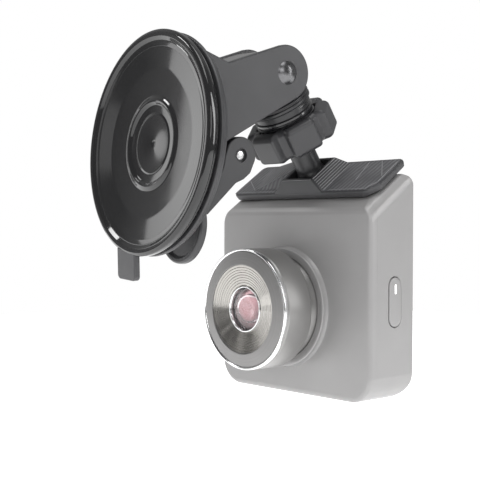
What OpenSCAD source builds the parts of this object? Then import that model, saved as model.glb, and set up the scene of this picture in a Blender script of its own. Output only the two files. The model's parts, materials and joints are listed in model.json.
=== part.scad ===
// Dash camera on a lever-lock suction mount.
// Origin: centre of the suction face. +X camera's left-right, -Y where the lens looks, +Z up.
// All sizes in millimetres.

/* [Camera body] */
// width of the camera, side to side
body_width = 72.8; // [60:0.2:90]
// depth of the camera, front to back
body_depth = 22.3; // [19:0.1:32]
// height of the front face up to where the slanted top would meet it
front_height = 63.6; // [55:0.2:80]
// slope of the camera's top, rising to the back
top_slope = 34.7; // [20:0.1:45]
// wall thickness of both covers
wall = 1.8; // [1.2:0.1:3]
// radius of the bottom corners seen from the front
corner_low = 9.5; // [3:0.5:14]
// radius of the top corners seen from the front
corner_high = 5; // [2:0.5:10]
// depth of the front cover
front_cover_depth = 3.2; // [2.4:0.1:6]
// open seam between the covers
seam = 0.12; // [0.05:0.01:0.4]

/* [Lens] */
// radius of the lens barrel
lens_radius = 20.45; // [16:0.05:24]
// how far the lens stands out of the front face
lens_reach = 20.2; // [14:0.1:26]
// lens centre, sideways from the camera's middle
lens_x = -3.2; // [-10:0.1:10]
// lens centre above the camera's bottom
lens_z = 29.8; // [24:0.1:40]
// radius of the ball at the barrel's foot
lens_ball_radius = 18.3; // [15:0.1:20]
// gap between that ball and its seat
lens_ball_gap = 0.35; // [0.3:0.05:0.6]
// radius of the front glass
glass_radius = 7; // [5:0.1:9]

/* [Adapter plate and ball] */
// width of the adapter plate
plate_width = 69; // [50:0.5:80]
// depth of the adapter plate
plate_depth = 20; // [14:0.5:24]
// thickness of plate and adhesive pad together
plate_thickness = 3; // [2:0.1:5]
// thickness of the adhesive pad alone
pad_thickness = 0.6; // [0.3:0.1:1.2]
// distance from the slope's front edge to the plate
plate_setback = 5.8; // [4:0.1:10]
// diameter of the ball
ball_diameter = 16; // [12:0.5:20]
// ball centre above the plate's top
ball_height = 24.4; // [20:0.1:30]
// radius of the ball's neck
neck_radius = 4.6; // [3:0.1:5.5]
// radial gap between the ball and its socket
ball_gap = 0.1; // [0.06:0.01:0.2]

/* [Suction mount] */
// radius of the suction cup's rim
cup_radius = 35.6; // [28:0.2:45]
// width of the lip that meets the glass
lip_width = 1.8; // [1:0.1:4]
// depth of the cup's dish at rest
dish_depth = 3.5; // [2:0.1:3.9]
// distance of the tilt pivot behind the glass
pivot_back = 44.8; // [40:0.2:60]
// distance of the tilt pivot above the cup's axis
pivot_up = 28.8; // [24:0.2:36]
// distance from the tilt pivot to the ball's centre
arm_length = 16.8; // [15:0.2:22]
// lean of the arm from the cup's upright
arm_lean = 39; // [20:0.5:60]
// turn of the camera about the ball's neck at rest
swivel_rest = -6.2; // [-20:0.1:20]
// radius of the two cheeks' round ends
cheek_radius = 9.2; // [7:0.1:12]
// gap between the two cheeks
cheek_gap = 17.2; // [14:0.2:22]
// thickness of each cheek
cheek_thickness = 3; // [2:0.1:5]
// radius of the pivot bolt
bolt_radius = 2.5; // [1.5:0.1:3]
// radial gap round each turning bolt or pin
turn_gap = 0.05; // [0.02:0.01:0.1]

/* [Lock lever] */
// distance of the lever's pin behind the glass
pin_back = 32; // [28:0.5:40]
// radius of the lever's pin
pin_radius = 1.5; // [1:0.1:2]
// radius of the lever's hub
hub_radius = 6; // [4:0.1:8]
// radius of the stem pulled by the lever
stem_radius = 3; // [2:0.1:4]
// radius of the lever's finger paddle
paddle_radius = 12; // [8:0.5:15]
// stem stroke when the lever opens
stem_stroke = 0.8; // [0.4:0.1:1]

/* [Clamp nut] */
// radius over the nut's lobes
nut_radius = 15.4; // [12:0.2:18]
// width of one lobe
lobe_width = 9.6; // [5:0.2:11]
// length of the nut along its axis
nut_length = 10.6; // [7:0.2:14]
// radius over the socket's thread
thread_radius = 10.5; // [9.4:0.1:12]

/* [Buttons and screen] */
// power button's width, front to back
power_width = 5.9; // [4:0.1:8]
// power button's length, up and down
power_length = 16.3; // [10:0.2:22]
// power button's centre above the camera's bottom
power_z = 33; // [20:0.2:45]
// how far the power button can be pressed
power_travel = 0.5; // [0.3:0.1:1]
// radius of each rear key
key_radius = 3.4; // [2.4:0.1:4]
// spacing of the rear keys
key_pitch = 13; // [9:0.5:16]
// how far a rear key can be pressed
key_travel = 0.5; // [0.3:0.1:1]
// gap round every button
button_gap = 0.3; // [0.2:0.05:0.5]
// width of the screen's window
screen_width = 45; // [36:0.5:52]
// height of the screen's window
screen_height = 34; // [28:0.5:40]

/* [Hidden] */
$fn = 96;

mount_pitch = top_slope - arm_lean;
ball_radius = ball_diameter / 2;
half_width = body_width / 2;
neck_dir = [0, -sin(top_slope), cos(top_slope)];
slope_dir = [0, cos(top_slope), sin(top_slope)];
plate_start = [0, 0, front_height] + slope_dir * plate_setback;
plate_centre = plate_start + slope_dir * (plate_depth / 2);
ball_body = plate_centre + neck_dir * (plate_thickness + ball_height);
ball_mount = [0, pivot_back + arm_length * sin(arm_lean),
  pivot_up - arm_length * cos(arm_lean)];
turned_x = rotate_x(ball_mount, mount_pitch);
ball_world = rotate_about(turned_x, neck_dir, swivel_rest);
camera_shift = ball_world - ball_body;
lens_centre = [lens_x, 3, lens_z];
low_slope = arm_lean - 5;
stem_bore = stem_radius + turn_gap;
bolt_bore = bolt_radius + turn_gap;
nut_bore = thread_radius + 0.3;
nut_top = 0.2;
nut_bottom = nut_top - nut_length;
inner_width = cheek_gap / 2;
outer_width = cheek_gap / 2 + cheek_thickness;
eye_width = cheek_gap / 2 - 0.85;
boss_end = pin_back - 7.45;
back_inside = body_depth - wall;
power_y = body_depth / 2 + 1;
board_y = 14.2;
board_thickness = 1.2;
screen_x = 0;
screen_z = 46;
keys_z = 14.5;
key_x = [-1.5, -0.5, 0.5, 1.5];
case_screw_places = [[-30.5, 9.5], [30.5, 9.5], [-30.5, 58], [30.5, 58]];
board_screw_places = [[-20, 9], [20, 9], [-25, 50], [25, 50]];
usb_z = 48.1;
jack_z = 38;
card_z = 23.9;
speaker_x = 28;
speaker_z = 42;

function arc_points(c, r, from, to, n) = [for (i = [0 : n])
  [c[0] + r * cos(from + (to - from) * i / n), c[1] + r * sin(from + (to - from) * i / n)]];
function rotate_x(p, a) = [p[0], p[1] * cos(a) - p[2] * sin(a),
  p[1] * sin(a) + p[2] * cos(a)];
function rotate_about(p, k, a) = p * cos(a) + cross(k, p) * sin(a)
  + k * (k * p) * (1 - cos(a));

// ---- where things sit ----

module in_mount() {
  rotate(a = swivel_rest, v = neck_dir)
    rotate([mount_pitch, 0, 0])
      children();
}

// origin at the ball's centre, z up the neck towards the pivot
module in_arm() {
  in_mount()
    translate(ball_mount)
      rotate([arm_lean, 0, 0])
        children();
}

// origin at the middle of the camera's bottom front edge
module in_camera() {
  translate(camera_shift)
    children();
}

// origin at the plate's top, z along the ball's neck, y up the slope
module on_plate() {
  in_camera()
    translate(plate_centre + neck_dir * plate_thickness)
      rotate([top_slope, 0, 0])
        children();
}

// revolve about the cup's axis: profile x is radius, y is depth behind the glass
module around_y() {
  rotate([-90, 0, 0])
    rotate_extrude()
      children();
}

// side view (y, z) drawn flat and given a width along x
module side_plate(x_low, x_high) {
  translate([x_low, 0, 0])
    rotate([90, 0, 90])
      linear_extrude(height = x_high - x_low)
        children();
}

// rod along x
module rod_x(x_low, x_high, r, y, z) {
  translate([x_low, y, z])
    rotate([0, 90, 0])
      cylinder(h = x_high - x_low, r = r);
}

// rod along y
module rod_y(y_low, y_high, r, x, z) {
  translate([x, y_low, z])
    rotate([-90, 0, 0])
      cylinder(h = y_high - y_low, r = r);
}

// box by its lowest and highest corners
module box(low, high) {
  translate(low)
    cube(high - low);
}

// capsule drawn flat, its length upwards
module slot_2d(width, length) {
  square([width, length - width], center = true);
  translate([0, (length - width) / 2])
    circle(d = width);
  translate([0, -(length - width) / 2])
    circle(d = width);
}

// ---- camera shell ----

// side view of the camera drawn inwards by t: front, bottom, back, slanted top
module side_shape(t) {
  r1 = max(4.5 - t, 0.6);
  r2 = max(4 - t, 0.6);
  r3 = max(7 - t, 0.6);
  r4 = max(1.6 - t, 0.4);
  rise = tan(top_slope);
  top0 = front_height - t / cos(top_slope);
  c1 = [t + r1, top0 + (t + r1) * rise - r1 / cos(top_slope)];
  back = body_depth - t;
  c2 = [back - r2, top0 + (back - r2) * rise - r2 / cos(top_slope)];
  c3 = [back - r3, t + r3];
  c4 = [t + r4, t + r4];
  up = [-sin(top_slope), cos(top_slope)];
  polygon([[t, c4[1]], [t, c1[1]], c1 + r1 * up, c2 + r2 * up, [back, c2[1]],
    [back, c3[1]], [c3[0], t], [c4[0], t]]);
  translate(c1)
    circle(r = r1);
  translate(c2)
    circle(r = r2);
  translate(c3)
    circle(r = r3);
  translate(c4)
    circle(r = r4);
}

// front view of the camera drawn inwards by t, with its two bottom corners rounded
module front_shape(t) {
  r = corner_low - t;
  w = half_width - t;
  for (s = [-1, 1])
    translate([s * (w - r), t + r])
      circle(r = r);
  translate([-(w - r), t])
    square([2 * (w - r), r + 1]);
  translate([-w, t + r])
    square([2 * w, front_height + body_depth]);
}

// view along the slanted top drawn inwards by t, with its two top corners rounded
module top_shape(t) {
  r = corner_high - t;
  w = half_width - t;
  for (s = [-1, 1])
    translate([s * (w - r), -t - r])
      circle(r = r);
  translate([-(w - r), -t - r - 1])
    square([2 * (w - r), r + 1]);
  translate([-w, -3 * front_height])
    square([2 * w, 3 * front_height - t - r]);
}

module body_solid(t) {
  intersection() {
    side_plate(-half_width + t, half_width - t)
      side_shape(t);
    translate([0, body_depth + 1, 0])
      rotate([90, 0, 0])
        linear_extrude(height = body_depth + 2)
          front_shape(t);
    translate([0, 0, front_height])
      rotate([top_slope + 90, 0, 0])
        translate([0, 0, -body_depth * 3])
          linear_extrude(height = body_depth * 6)
            top_shape(t);
  }
}

module front_cover() {
  color([0.64, 0.64, 0.63])
    in_camera()
      difference() {
        union() {
          difference() {
            body_solid(0);
            body_solid(wall);
            box([-50, front_cover_depth, -5], [50, 60, 120]);
          }
          // posts the case screws bite into
          for (p = case_screw_places)
            rod_y(wall - 0.1, 11.9, 2.8, p[0], p[1]);
          // posts the board rests on
          for (p = board_screw_places)
            rod_y(wall - 0.1, board_y - 0.02, 2.4, p[0], p[1]);
        }
        rod_y(-5, 10, 19.25, lens_x, lens_z);
        for (p = case_screw_places)
          rod_y(4.6, 20, 1.12, p[0], p[1]);
        for (p = board_screw_places)
          rod_y(board_y - 8, 20, 1.02, p[0], p[1]);
      }
}

module rear_cover() {
  color([0.6, 0.6, 0.59])
    in_camera()
      difference() {
        union() {
          difference() {
            body_solid(0);
            body_solid(wall);
            box([-50, -5, -5], [50, front_cover_depth + seam, 120]);
          }
          for (p = case_screw_places)
            rod_y(12, back_inside + 0.1, 3, p[0], p[1]);
        }
        // window for the screen
        box([screen_x - screen_width / 2, back_inside - 1, screen_z - screen_height / 2],
          [screen_x + screen_width / 2, body_depth + 1, screen_z + screen_height / 2]);
        // rear keys
        for (i = key_x)
          rod_y(back_inside - 1, body_depth + 1, key_radius + button_gap,
            i * key_pitch, keys_z);
        power_hole();
        // ports on the other side
        box([-half_width - 1, 9.4, usb_z - 4.6], [-half_width + wall + 1, 12.8, usb_z + 4.6]);
        rod_x(-half_width - 1, -half_width + wall + 1, 1.9, 11.1, jack_z);
        // card slot
        box([-half_width - 1, 10.6, card_z - 5.9], [-half_width + wall + 1, 12.2, card_z + 5.9]);
        // speaker and microphone holes in the back
        for (i = [-2 : 2])
          rod_y(back_inside - 1, body_depth + 1, 0.7, speaker_x, speaker_z + i * 2.4);
        rod_y(back_inside - 1, body_depth + 1, 0.5, -27, 66);
        // screw holes with room for the heads
        for (p = case_screw_places) {
          rod_y(10, body_depth + 1, 1.25, p[0], p[1]);
          rod_y(body_depth - 1.4, body_depth + 1, 2.1, p[0], p[1]);
        }
      }
}

module power_hole() {
  translate([half_width - wall - 1, power_y, power_z])
    rotate([90, 0, 90])
      linear_extrude(height = wall + 2)
        slot_2d(power_width + 2 * button_gap, power_length + 2 * button_gap);
}

// ---- lens ----

module lens_socket() {
  color([0.56, 0.56, 0.56])
    in_camera()
      difference() {
        union() {
          rod_y(-2, 0, lens_radius + 0.1, lens_x, lens_z);
          rod_y(-0.01, 2.4, 19.2, lens_x, lens_z);
        }
        translate(lens_centre)
          sphere(r = lens_ball_radius + lens_ball_gap, $fn = 96);
      }
}

module lens_retainer() {
  color([0.16, 0.16, 0.17])
    in_camera()
      difference() {
        rod_y(front_cover_depth + 0.1, 11, 20.6, lens_x, lens_z);
        translate(lens_centre)
          sphere(r = lens_ball_radius + lens_ball_gap, $fn = 96);
      }
}

module lens_barrel() {
  ball_low = asin(5 / lens_ball_radius);
  ball_high = asin(-9.9 / lens_ball_radius);
  front = -lens_reach + 2.2;
  bore = glass_radius + 0.85;
  color([0.6, 0.6, 0.6])
    in_camera()
      translate([lens_x, 0, lens_z])
        around_y()
          polygon(concat([[bore, 8]],
            arc_points([0, 3], lens_ball_radius, ball_low, ball_high, 14),
            [[lens_radius - 0.4, -6.9], [lens_radius, -7.3], [lens_radius, front],
            [lens_radius - 2.2, front], [lens_radius - 2.2, front + 2], [bore, front + 2]]));
}

module chrome_ring() {
  color([0.93, 0.93, 0.94])
    in_camera()
      difference() {
        rod_y(-lens_reach + 0.9, -lens_reach + 2.2, lens_radius, lens_x, lens_z);
        rod_y(-lens_reach, -lens_reach + 3, lens_radius - 0.9, lens_x, lens_z);
      }
}

module face_ring() {
  color([0.58, 0.58, 0.58])
    in_camera()
      translate([lens_x, 0, lens_z])
        around_y()
          polygon([[15, -lens_reach], [lens_radius - 1, -lens_reach + 1.1],
            [lens_radius - 1, -lens_reach + 2.2], [lens_radius - 2.3, -lens_reach + 2.2],
            [lens_radius - 2.3, -lens_reach + 2.8], [15, -lens_reach + 2.8]]);
}

module lens_cone() {
  color([0.72, 0.72, 0.72])
    in_camera()
      translate([lens_x, 0, lens_z])
        around_y()
          polygon([[14.9, -lens_reach + 0.3], [14.9, -lens_reach + 3.6],
            [8.7, -lens_reach + 4.1], [glass_radius + 0.9, -lens_reach + 4.1],
            [glass_radius + 0.9, -lens_reach + 1.6]]);
}

module lens_tube() {
  color([0.1, 0.1, 0.11])
    in_camera()
      difference() {
        rod_y(-lens_reach + 1.2, 7.6, glass_radius + 0.8, lens_x, lens_z);
        rod_y(-lens_reach, 9, glass_radius - 1.2, lens_x, lens_z);
        rod_y(-lens_reach, -lens_reach + 5.4, glass_radius + 0.05, lens_x, lens_z);
      }
}

module front_lens() {
  color([0.75, 0.6, 0.64, 0.5])
    in_camera()
      intersection() {
        rod_y(-lens_reach + 0.6, -lens_reach + 5.2, glass_radius, lens_x, lens_z);
        translate([lens_x, -lens_reach + 13.6, lens_z])
          sphere(r = 13, $fn = 96);
      }
}

module aperture_ring() {
  color([0.08, 0.08, 0.08])
    in_camera()
      difference() {
        rod_y(-10, -9.2, glass_radius - 1.25, lens_x, lens_z);
        rod_y(-11, -8, 2.2, lens_x, lens_z);
      }
}

module rear_lens() {
  color([0.7, 0.75, 0.8, 0.5])
    in_camera()
      intersection() {
        rod_y(-8.6, -3.4, glass_radius - 1.25, lens_x, lens_z);
        translate([lens_x, 3, lens_z])
          sphere(r = 11.6, $fn = 96);
      }
}

module ir_filter() {
  color([0.5, 0.7, 0.7, 0.5])
    in_camera()
      rod_y(3.4, 4, glass_radius - 1.25, lens_x, lens_z);
}

module image_sensor() {
  color([0.12, 0.14, 0.2])
    in_camera()
      box([lens_x - 4, 5.2, lens_z - 3.4], [lens_x + 4, 7.95, lens_z + 3.4]);
}

module sensor_board() {
  color([0.05, 0.25, 0.12])
    in_camera()
      box([lens_x - 8.6, 8, lens_z - 8.6], [lens_x + 8.6, 9, lens_z + 8.6]);
}

// ---- inside the camera ----

module main_board() {
  color([0.05, 0.28, 0.13])
    in_camera()
      difference() {
        box([-33, board_y, 6], [31.8, board_y + board_thickness, 62]);
        for (p = board_screw_places)
          rod_y(board_y - 1, board_y + 3, 1.1, p[0], p[1]);
        // corners cleared for the screw posts
        for (s = [-1, 1]) {
          box([s * 31 - 4.6, board_y - 1, 0], [s * 31 + 4.6, board_y + 3, 13.6]);
          box([s * 31 - 4.6, board_y - 1, 54], [s * 31 + 4.6, board_y + 3, 70]);
        }
      }
}

module processor() {
  color([0.08, 0.08, 0.09])
    in_camera()
      box([5, board_y - 1.3, 48], [17, board_y - 0.02, 60]);
}

module heat_spreader() {
  color([0.75, 0.76, 0.78])
    in_camera() {
      box([3, board_y - 2.2, 46.2], [19, board_y - 1.34, 61.8]);
      for (i = [0 : 5])
        box([3.4 + i * 2.9, board_y - 3, 46.6], [4.3 + i * 2.9, board_y - 2.18, 61.4]);
    }
}

module board_parts() {
  color([0.15, 0.15, 0.16])
    in_camera() {
      box([-18, board_y - 1.1, 50], [-10, board_y - 0.02, 60]);
      box([-8, board_y - 1.1, 54], [-1, board_y - 0.02, 60]);
      box([24, board_y - 2, 40], [30, board_y - 0.02, 46]);
      box([22, board_y - 1.4, 28], [29, board_y - 0.02, 33]);
      for (i = [0 : 3])
        box([-12 + i * 6, board_y - 1.6, 8], [-9 + i * 6, board_y - 0.02, 11]);
    }
}

module battery() {
  color([0.2, 0.25, 0.5])
    in_camera() {
      rod_x(-25.5, -14, 3.2, 9.4, 57);
      rod_x(-12.5, -1, 3.2, 9.4, 57);
    }
}

module speaker() {
  color([0.1, 0.1, 0.1])
    in_camera()
      difference() {
        rod_y(back_inside - 3.4, back_inside - 0.05, 5.6, speaker_x, speaker_z);
        rod_y(back_inside - 1, back_inside + 1, 4.9, speaker_x, speaker_z);
      }
}

module microphone() {
  color([0.6, 0.6, 0.6])
    in_camera()
      rod_y(back_inside - 2.6, back_inside - 0.05, 1.9, -27, 66);
}

module card_socket() {
  color([0.7, 0.7, 0.7])
    in_camera()
      difference() {
        box([-half_width + wall + 0.1, board_y - 4.2, card_z - 7],
          [-half_width + wall + 9.6, board_y - 0.02, card_z + 7]);
        box([-half_width, board_y - 3.5, card_z - 5.7],
          [-half_width + wall + 9, board_y - 2.1, card_z + 5.7]);
      }
}

module usb_port() {
  color([0.75, 0.75, 0.76])
    in_camera()
      difference() {
        box([-half_width + 0.5, 9.5, usb_z - 4.5], [-half_width + 8.4, 12.7, usb_z + 4.5]);
        box([-half_width, 9.9, usb_z - 4.1], [-half_width + 7.6, 12.3, usb_z + 4.1]);
      }
}

module rear_camera_port() {
  color([0.1, 0.1, 0.1])
    in_camera()
      difference() {
        union() {
          rod_x(-half_width + 0.4, -half_width + 3, 1.85, 11.1, jack_z);
          box([-half_width + wall + 0.1, board_y - 5.6, jack_z - 3],
            [-half_width + wall + 9, board_y - 0.02, jack_z + 3]);
        }
        rod_x(-half_width, -half_width + 9.4, 1.3, 11.1, jack_z);
      }
}

module lcd_panel() {
  color([0.05, 0.06, 0.08])
    in_camera()
      box([screen_x - 23.6, back_inside - 2.4, screen_z - 18],
        [screen_x + 21.8, back_inside - 0.35, screen_z + 18]);
}

module screen_glass() {
  color([0.03, 0.03, 0.04])
    in_camera()
      box([screen_x - screen_width / 2 + 0.1, back_inside - 0.3,
        screen_z - screen_height / 2 + 0.1],
        [screen_x + screen_width / 2 - 0.1, body_depth - 0.2,
        screen_z + screen_height / 2 - 0.1]);
}

module antenna() {
  color([0.8, 0.6, 0.2])
    in_camera()
      box([12, 8.6, 62.4], [30, 9.4, 65.6]);
}

module key_board() {
  color([0.05, 0.28, 0.13])
    in_camera() {
      box([-26, back_inside - 4, 10], [26, back_inside - 3.2, 20]);
      for (i = key_x)
        rod_y(back_inside - 3.21, back_inside - 2.1, 1.6, i * key_pitch, keys_z);
    }
}

module power_switch_board() {
  color([0.05, 0.28, 0.13])
    in_camera() {
      box([half_width - wall - 4.4, 6.4, power_z - 8], [half_width - wall - 3.6, 13, power_z + 8]);
      box([half_width - wall - 3.61, 8.6, power_z - 2.5],
        [half_width - wall - 2, 12.4, power_z + 2.5]);
    }
}

module case_screws() {
  color([0.5, 0.5, 0.52])
    in_camera()
      for (p = case_screw_places)
        difference() {
          union() {
            rod_y(5, body_depth - 1, 1.1, p[0], p[1]);
            rod_y(body_depth - 1.38, body_depth - 0.4, 2, p[0], p[1]);
          }
          rod_y(body_depth - 1, body_depth, 0.8, p[0], p[1], $fn = 6);
        }
}

module board_screws() {
  color([0.5, 0.5, 0.52])
    in_camera()
      for (p = board_screw_places) {
        rod_y(board_y - 5, board_y + board_thickness + 0.1, 1, p[0], p[1]);
        rod_y(board_y + board_thickness + 0.02, board_y + board_thickness + 1.1, 1.9,
          p[0], p[1]);
      }
}

// ---- buttons ----

module power_button() {
  color([0.62, 0.62, 0.62])
    in_camera()
      difference() {
        union() {
          translate([half_width - wall + 0.1, power_y, power_z])
            rotate([90, 0, 90])
              linear_extrude(height = wall + 0.5)
                slot_2d(power_width, power_length);
          translate([half_width - wall - 1.15, power_y, power_z])
            rotate([90, 0, 90])
              linear_extrude(height = 0.8)
                slot_2d(power_width + 2.2, power_length + 2.2);
          translate([half_width - wall - 0.4, power_y, power_z])
            rotate([90, 0, 90])
              linear_extrude(height = 0.6)
                slot_2d(power_width, power_length);
        }
        box([half_width - wall - 2, power_y - 0.45, power_z + 2.6],
          [half_width + 2, power_y + 0.45, power_z + 5.9]);
      }
}

module button_light() {
  color([0.95, 0.95, 0.95])
    in_camera()
      box([half_width - wall - 1.1, power_y - 0.4, power_z + 2.65],
        [half_width + 0.6, power_y + 0.4, power_z + 5.85]);
}

module rear_key(x) {
  color([0.5, 0.5, 0.5])
    in_camera() {
      rod_y(back_inside - 0.5, body_depth + 0.5, key_radius, x, keys_z);
      rod_y(back_inside - 1.2, back_inside - 0.45, key_radius + 1, x, keys_z);
    }
}

module key_menu() {
  rear_key(key_x[0] * key_pitch);
}

module key_up() {
  rear_key(key_x[1] * key_pitch);
}

module key_down() {
  rear_key(key_x[2] * key_pitch);
}

module key_record() {
  rear_key(key_x[3] * key_pitch);
}

// ---- adapter plate and ball ----

module plate_outline(inset) {
  w = plate_width / 2 - inset;
  d = plate_depth / 2 - inset;
  r = 3;
  square([2 * (w - r), 2 * d], center = true);
  square([2 * w, 2 * (d - r)], center = true);
  for (sx = [-1, 1])
    for (sy = [-1, 1])
      translate([sx * (w - r), sy * (d - r)])
        circle(r = r);
}

module adapter_plate() {
  t = plate_thickness - pad_thickness;
  ear = 4;
  color([0.36, 0.36, 0.37])
    on_plate()
      difference() {
        union() {
          // plate, its ends bevelled in towards the camera
          intersection() {
            translate([0, 0, -t])
              linear_extrude(height = t)
                plate_outline(0);
            translate([0, 50, 0])
              rotate([90, 0, 0])
                linear_extrude(height = 100)
                  polygon([[-plate_width / 2, 0.1], [plate_width / 2, 0.1],
                    [plate_width / 2, -0.5], [plate_width / 2 - 0.4, -t - 0.1],
                    [-plate_width / 2 + 0.4, -t - 0.1], [-plate_width / 2, -0.5]]);
          }
          // raised collar round the neck, sloping on every side
          intersection() {
            translate([0, 50, 0])
              rotate([90, 0, 0])
                linear_extrude(height = 100)
                  polygon([[-11.8, -0.2], [-7.5, ear], [7.5, ear], [11.8, -0.2]]);
            side_plate(-20, 20)
              polygon([[-plate_depth / 2 + 0.1, -0.2], [-8, ear], [6.6, ear],
                [plate_depth / 2 - 1.4, -0.2]]);
          }
        }
        // well the neck stands in
        box([-6, -6.4, 0.4], [6, 5.7, 10]);
        // screw
        translate([0, 0, -10])
          cylinder(h = 20, r = 1.5 + turn_gap);
        // hexagon recess for the screw's end
        translate([0, 0, -t - 1])
          cylinder(h = 2.1, r = 3.2, $fn = 6);
      }
}

module adhesive_pad() {
  color([0.1, 0.1, 0.1])
    on_plate()
      translate([0, 0, -plate_thickness + 0.02])
        linear_extrude(height = pad_thickness - 0.04)
          plate_outline(2.2);
}

module ball_stud() {
  low = -ball_height + 0.42;
  color([0.2, 0.2, 0.21])
    on_plate()
      translate([0, 0, ball_height])
        difference() {
          union() {
            sphere(r = ball_radius, $fn = 96);
            translate([0, 0, low])
              cylinder(h = -low - 5, r = neck_radius);
            translate([0, 0, low])
              cylinder(h = 2, r1 = 5.3, r2 = neck_radius);
          }
          translate([0, 0, low - 1])
            cylinder(h = 40, r = 1.5 + turn_gap);
          translate([0, 0, 1.6])
            cylinder(h = 20, r = 3.5, $fn = 6);
        }
}

module stud_screw() {
  color([0.55, 0.55, 0.57])
    on_plate()
      translate([0, 0, ball_height])
        difference() {
          union() {
            translate([0, 0, -ball_height - plate_thickness + pad_thickness + 0.1])
              cylinder(h = ball_height + 4.5, r = 1.5);
            translate([0, 0, 1.65])
              cylinder(h = 2.2, r = 2.8);
            translate([0, 0, -ball_height - plate_thickness + pad_thickness + 0.1])
              cylinder(h = 0.9, r = 2.6, $fn = 6);
          }
          translate([0, 0, 2.6])
            cylinder(h = 3, r = 1.4, $fn = 6);
        }
}

// ---- ball socket ----

module ball_seat() {
  color([0.8, 0.8, 0.76])
    in_arm()
      difference() {
        intersection() {
          sphere(r = ball_radius + 1.2, $fn = 96);
          translate([0, 0, 6.4])
            cylinder(h = 10, r = 20);
        }
        sphere(r = ball_radius + ball_gap, $fn = 96);
      }
}

module swivel_washer() {
  color([0.75, 0.75, 0.77])
    in_arm()
      translate([0, 0, ball_radius + 1.55])
        difference() {
          cylinder(h = 0.8, r = 4.6);
          translate([0, 0, -1])
            cylinder(h = 3, r = 1.6);
        }
}

module socket_arm() {
  color([0.2, 0.2, 0.21])
    in_arm()
      difference() {
        union() {
          rod_x(-eye_width, eye_width, cheek_radius - 1.8, 0, arm_length);
          box([-eye_width, -6, 6], [eye_width, 6, arm_length]);
          translate([0, 0, 4.6])
            cylinder(h = arm_length - cheek_radius - 5, r = 11);
          translate([0, 0, -2.2])
            cylinder(h = 7, r = thread_radius - 0.5);
          // turns of the thread
          for (i = [0 : 2])
            translate([0, 0, 2.6 - 2 * i])
              rotate_extrude()
                polygon([[8.6, 0], [thread_radius - 0.5, 0], [thread_radius, 0.5],
                  [thread_radius, 0.8], [thread_radius - 0.5, 1.3], [8.6, 1.3]]);
          // fingers round the ball, tapering to their tips
          translate([0, 0, -4.2])
            cylinder(h = 2.01, r1 = 8.6, r2 = thread_radius - 0.5);
        }
        sphere(r = ball_radius + ball_gap, $fn = 96);
        intersection() {
          sphere(r = ball_radius + 1.5, $fn = 96);
          translate([0, 0, 4.4])
            cylinder(h = 10, r = 20);
        }
        // pocket for the washer
        translate([0, 0, 9])
          cylinder(h = 1.6, r = 4.9);
        // slots between the fingers
        box([-0.6, -13, -5], [0.6, 13, 3.6]);
        box([-13, -0.6, -5], [13, 0.6, 3.6]);
        rod_x(-20, 20, bolt_bore, 0, arm_length);
      }
}

module pivot_washers() {
  color([0.78, 0.78, 0.8])
    in_arm()
      for (s = [-1, 1])
        difference() {
          rod_x(s * (eye_width + 0.27) - 0.25, s * (eye_width + 0.27) + 0.25, 5.6, 0,
            arm_length);
          rod_x(-20, 20, bolt_bore, 0, arm_length);
        }
}

module clamp_nut() {
  color([0.27, 0.27, 0.28])
    in_arm()
      rotate([0, 0, -6])
      difference() {
        intersection() {
          union() {
            translate([0, 0, nut_bottom])
              cylinder(h = nut_length, r = 12.6);
            for (i = [0 : 5])
              rotate([0, 0, -18 + 60 * i])
                translate([0, -lobe_width / 2, nut_bottom])
                  cube([nut_radius + 1, lobe_width, nut_length]);
          }
          // rounded towards the thread, chamfered below
          rotate_extrude()
            polygon([[0, nut_bottom], [nut_radius - 2, nut_bottom],
              [nut_radius + 0.6, nut_bottom + 1.6], [nut_radius + 0.6, nut_top - 2.4],
              [nut_radius - 0.6, nut_top - 0.8], [nut_radius - 2.2, nut_top], [0, nut_top]]);
        }
        // threaded bore, then the taper that squeezes the fingers
        translate([0, 0, -2.1])
          cylinder(h = 20, r = nut_bore);
        translate([0, 0, -4.7])
          cylinder(h = 2.61, r1 = 8.9, r2 = nut_bore);
        translate([0, 0, nut_bottom - 1])
          cylinder(h = 20, r = 7.6);
        translate([0, 0, nut_bottom - 0.01])
          cylinder(h = -4 - nut_bottom, r1 = 8.8, r2 = 7.6);
      }
}

// ---- suction mount ----

module suction_cup() {
  lip = cup_radius - 0.6 - lip_width;
  color([0.13, 0.13, 0.14])
    in_mount() {
      around_y()
        difference() {
          polygon([[0, dish_depth], [12.5, dish_depth - 0.1], [13.2, 2.1], [14, 2.1],
            [14.6, 2.7], [24, 2.2], [lip - 3, 1.1], [lip, 0], [cup_radius - 0.6, 0],
            [cup_radius, 0.7], [cup_radius, 2.1], [cup_radius - 1, 3.1],
            [cup_radius - 1.3, 4.4], [12, 4.4], [12, 8.1], [stem_bore, 8.1],
            [stem_bore, 6.7], [9.7, 6.7], [9.7, 5], [0, 5]]);
        }
      // pull tab at the bottom, leaning back
      translate([-5, 1.1, -cup_radius + 1.4])
        rotate([8, 0, 0])
          box([-5.3, -0.9, -9.4], [5.3, 1.3, 0.6]);
    }
}

module base_ring() {
  color([0.4, 0.4, 0.41])
    in_mount()
      around_y()
        polygon([[cup_radius - 3, 4.65], [cup_radius - 0.5, 4.65], [cup_radius - 0.2, 5.2],
          [cup_radius - 0.5, 6], [cup_radius - 3, 6]]);
}

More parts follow.
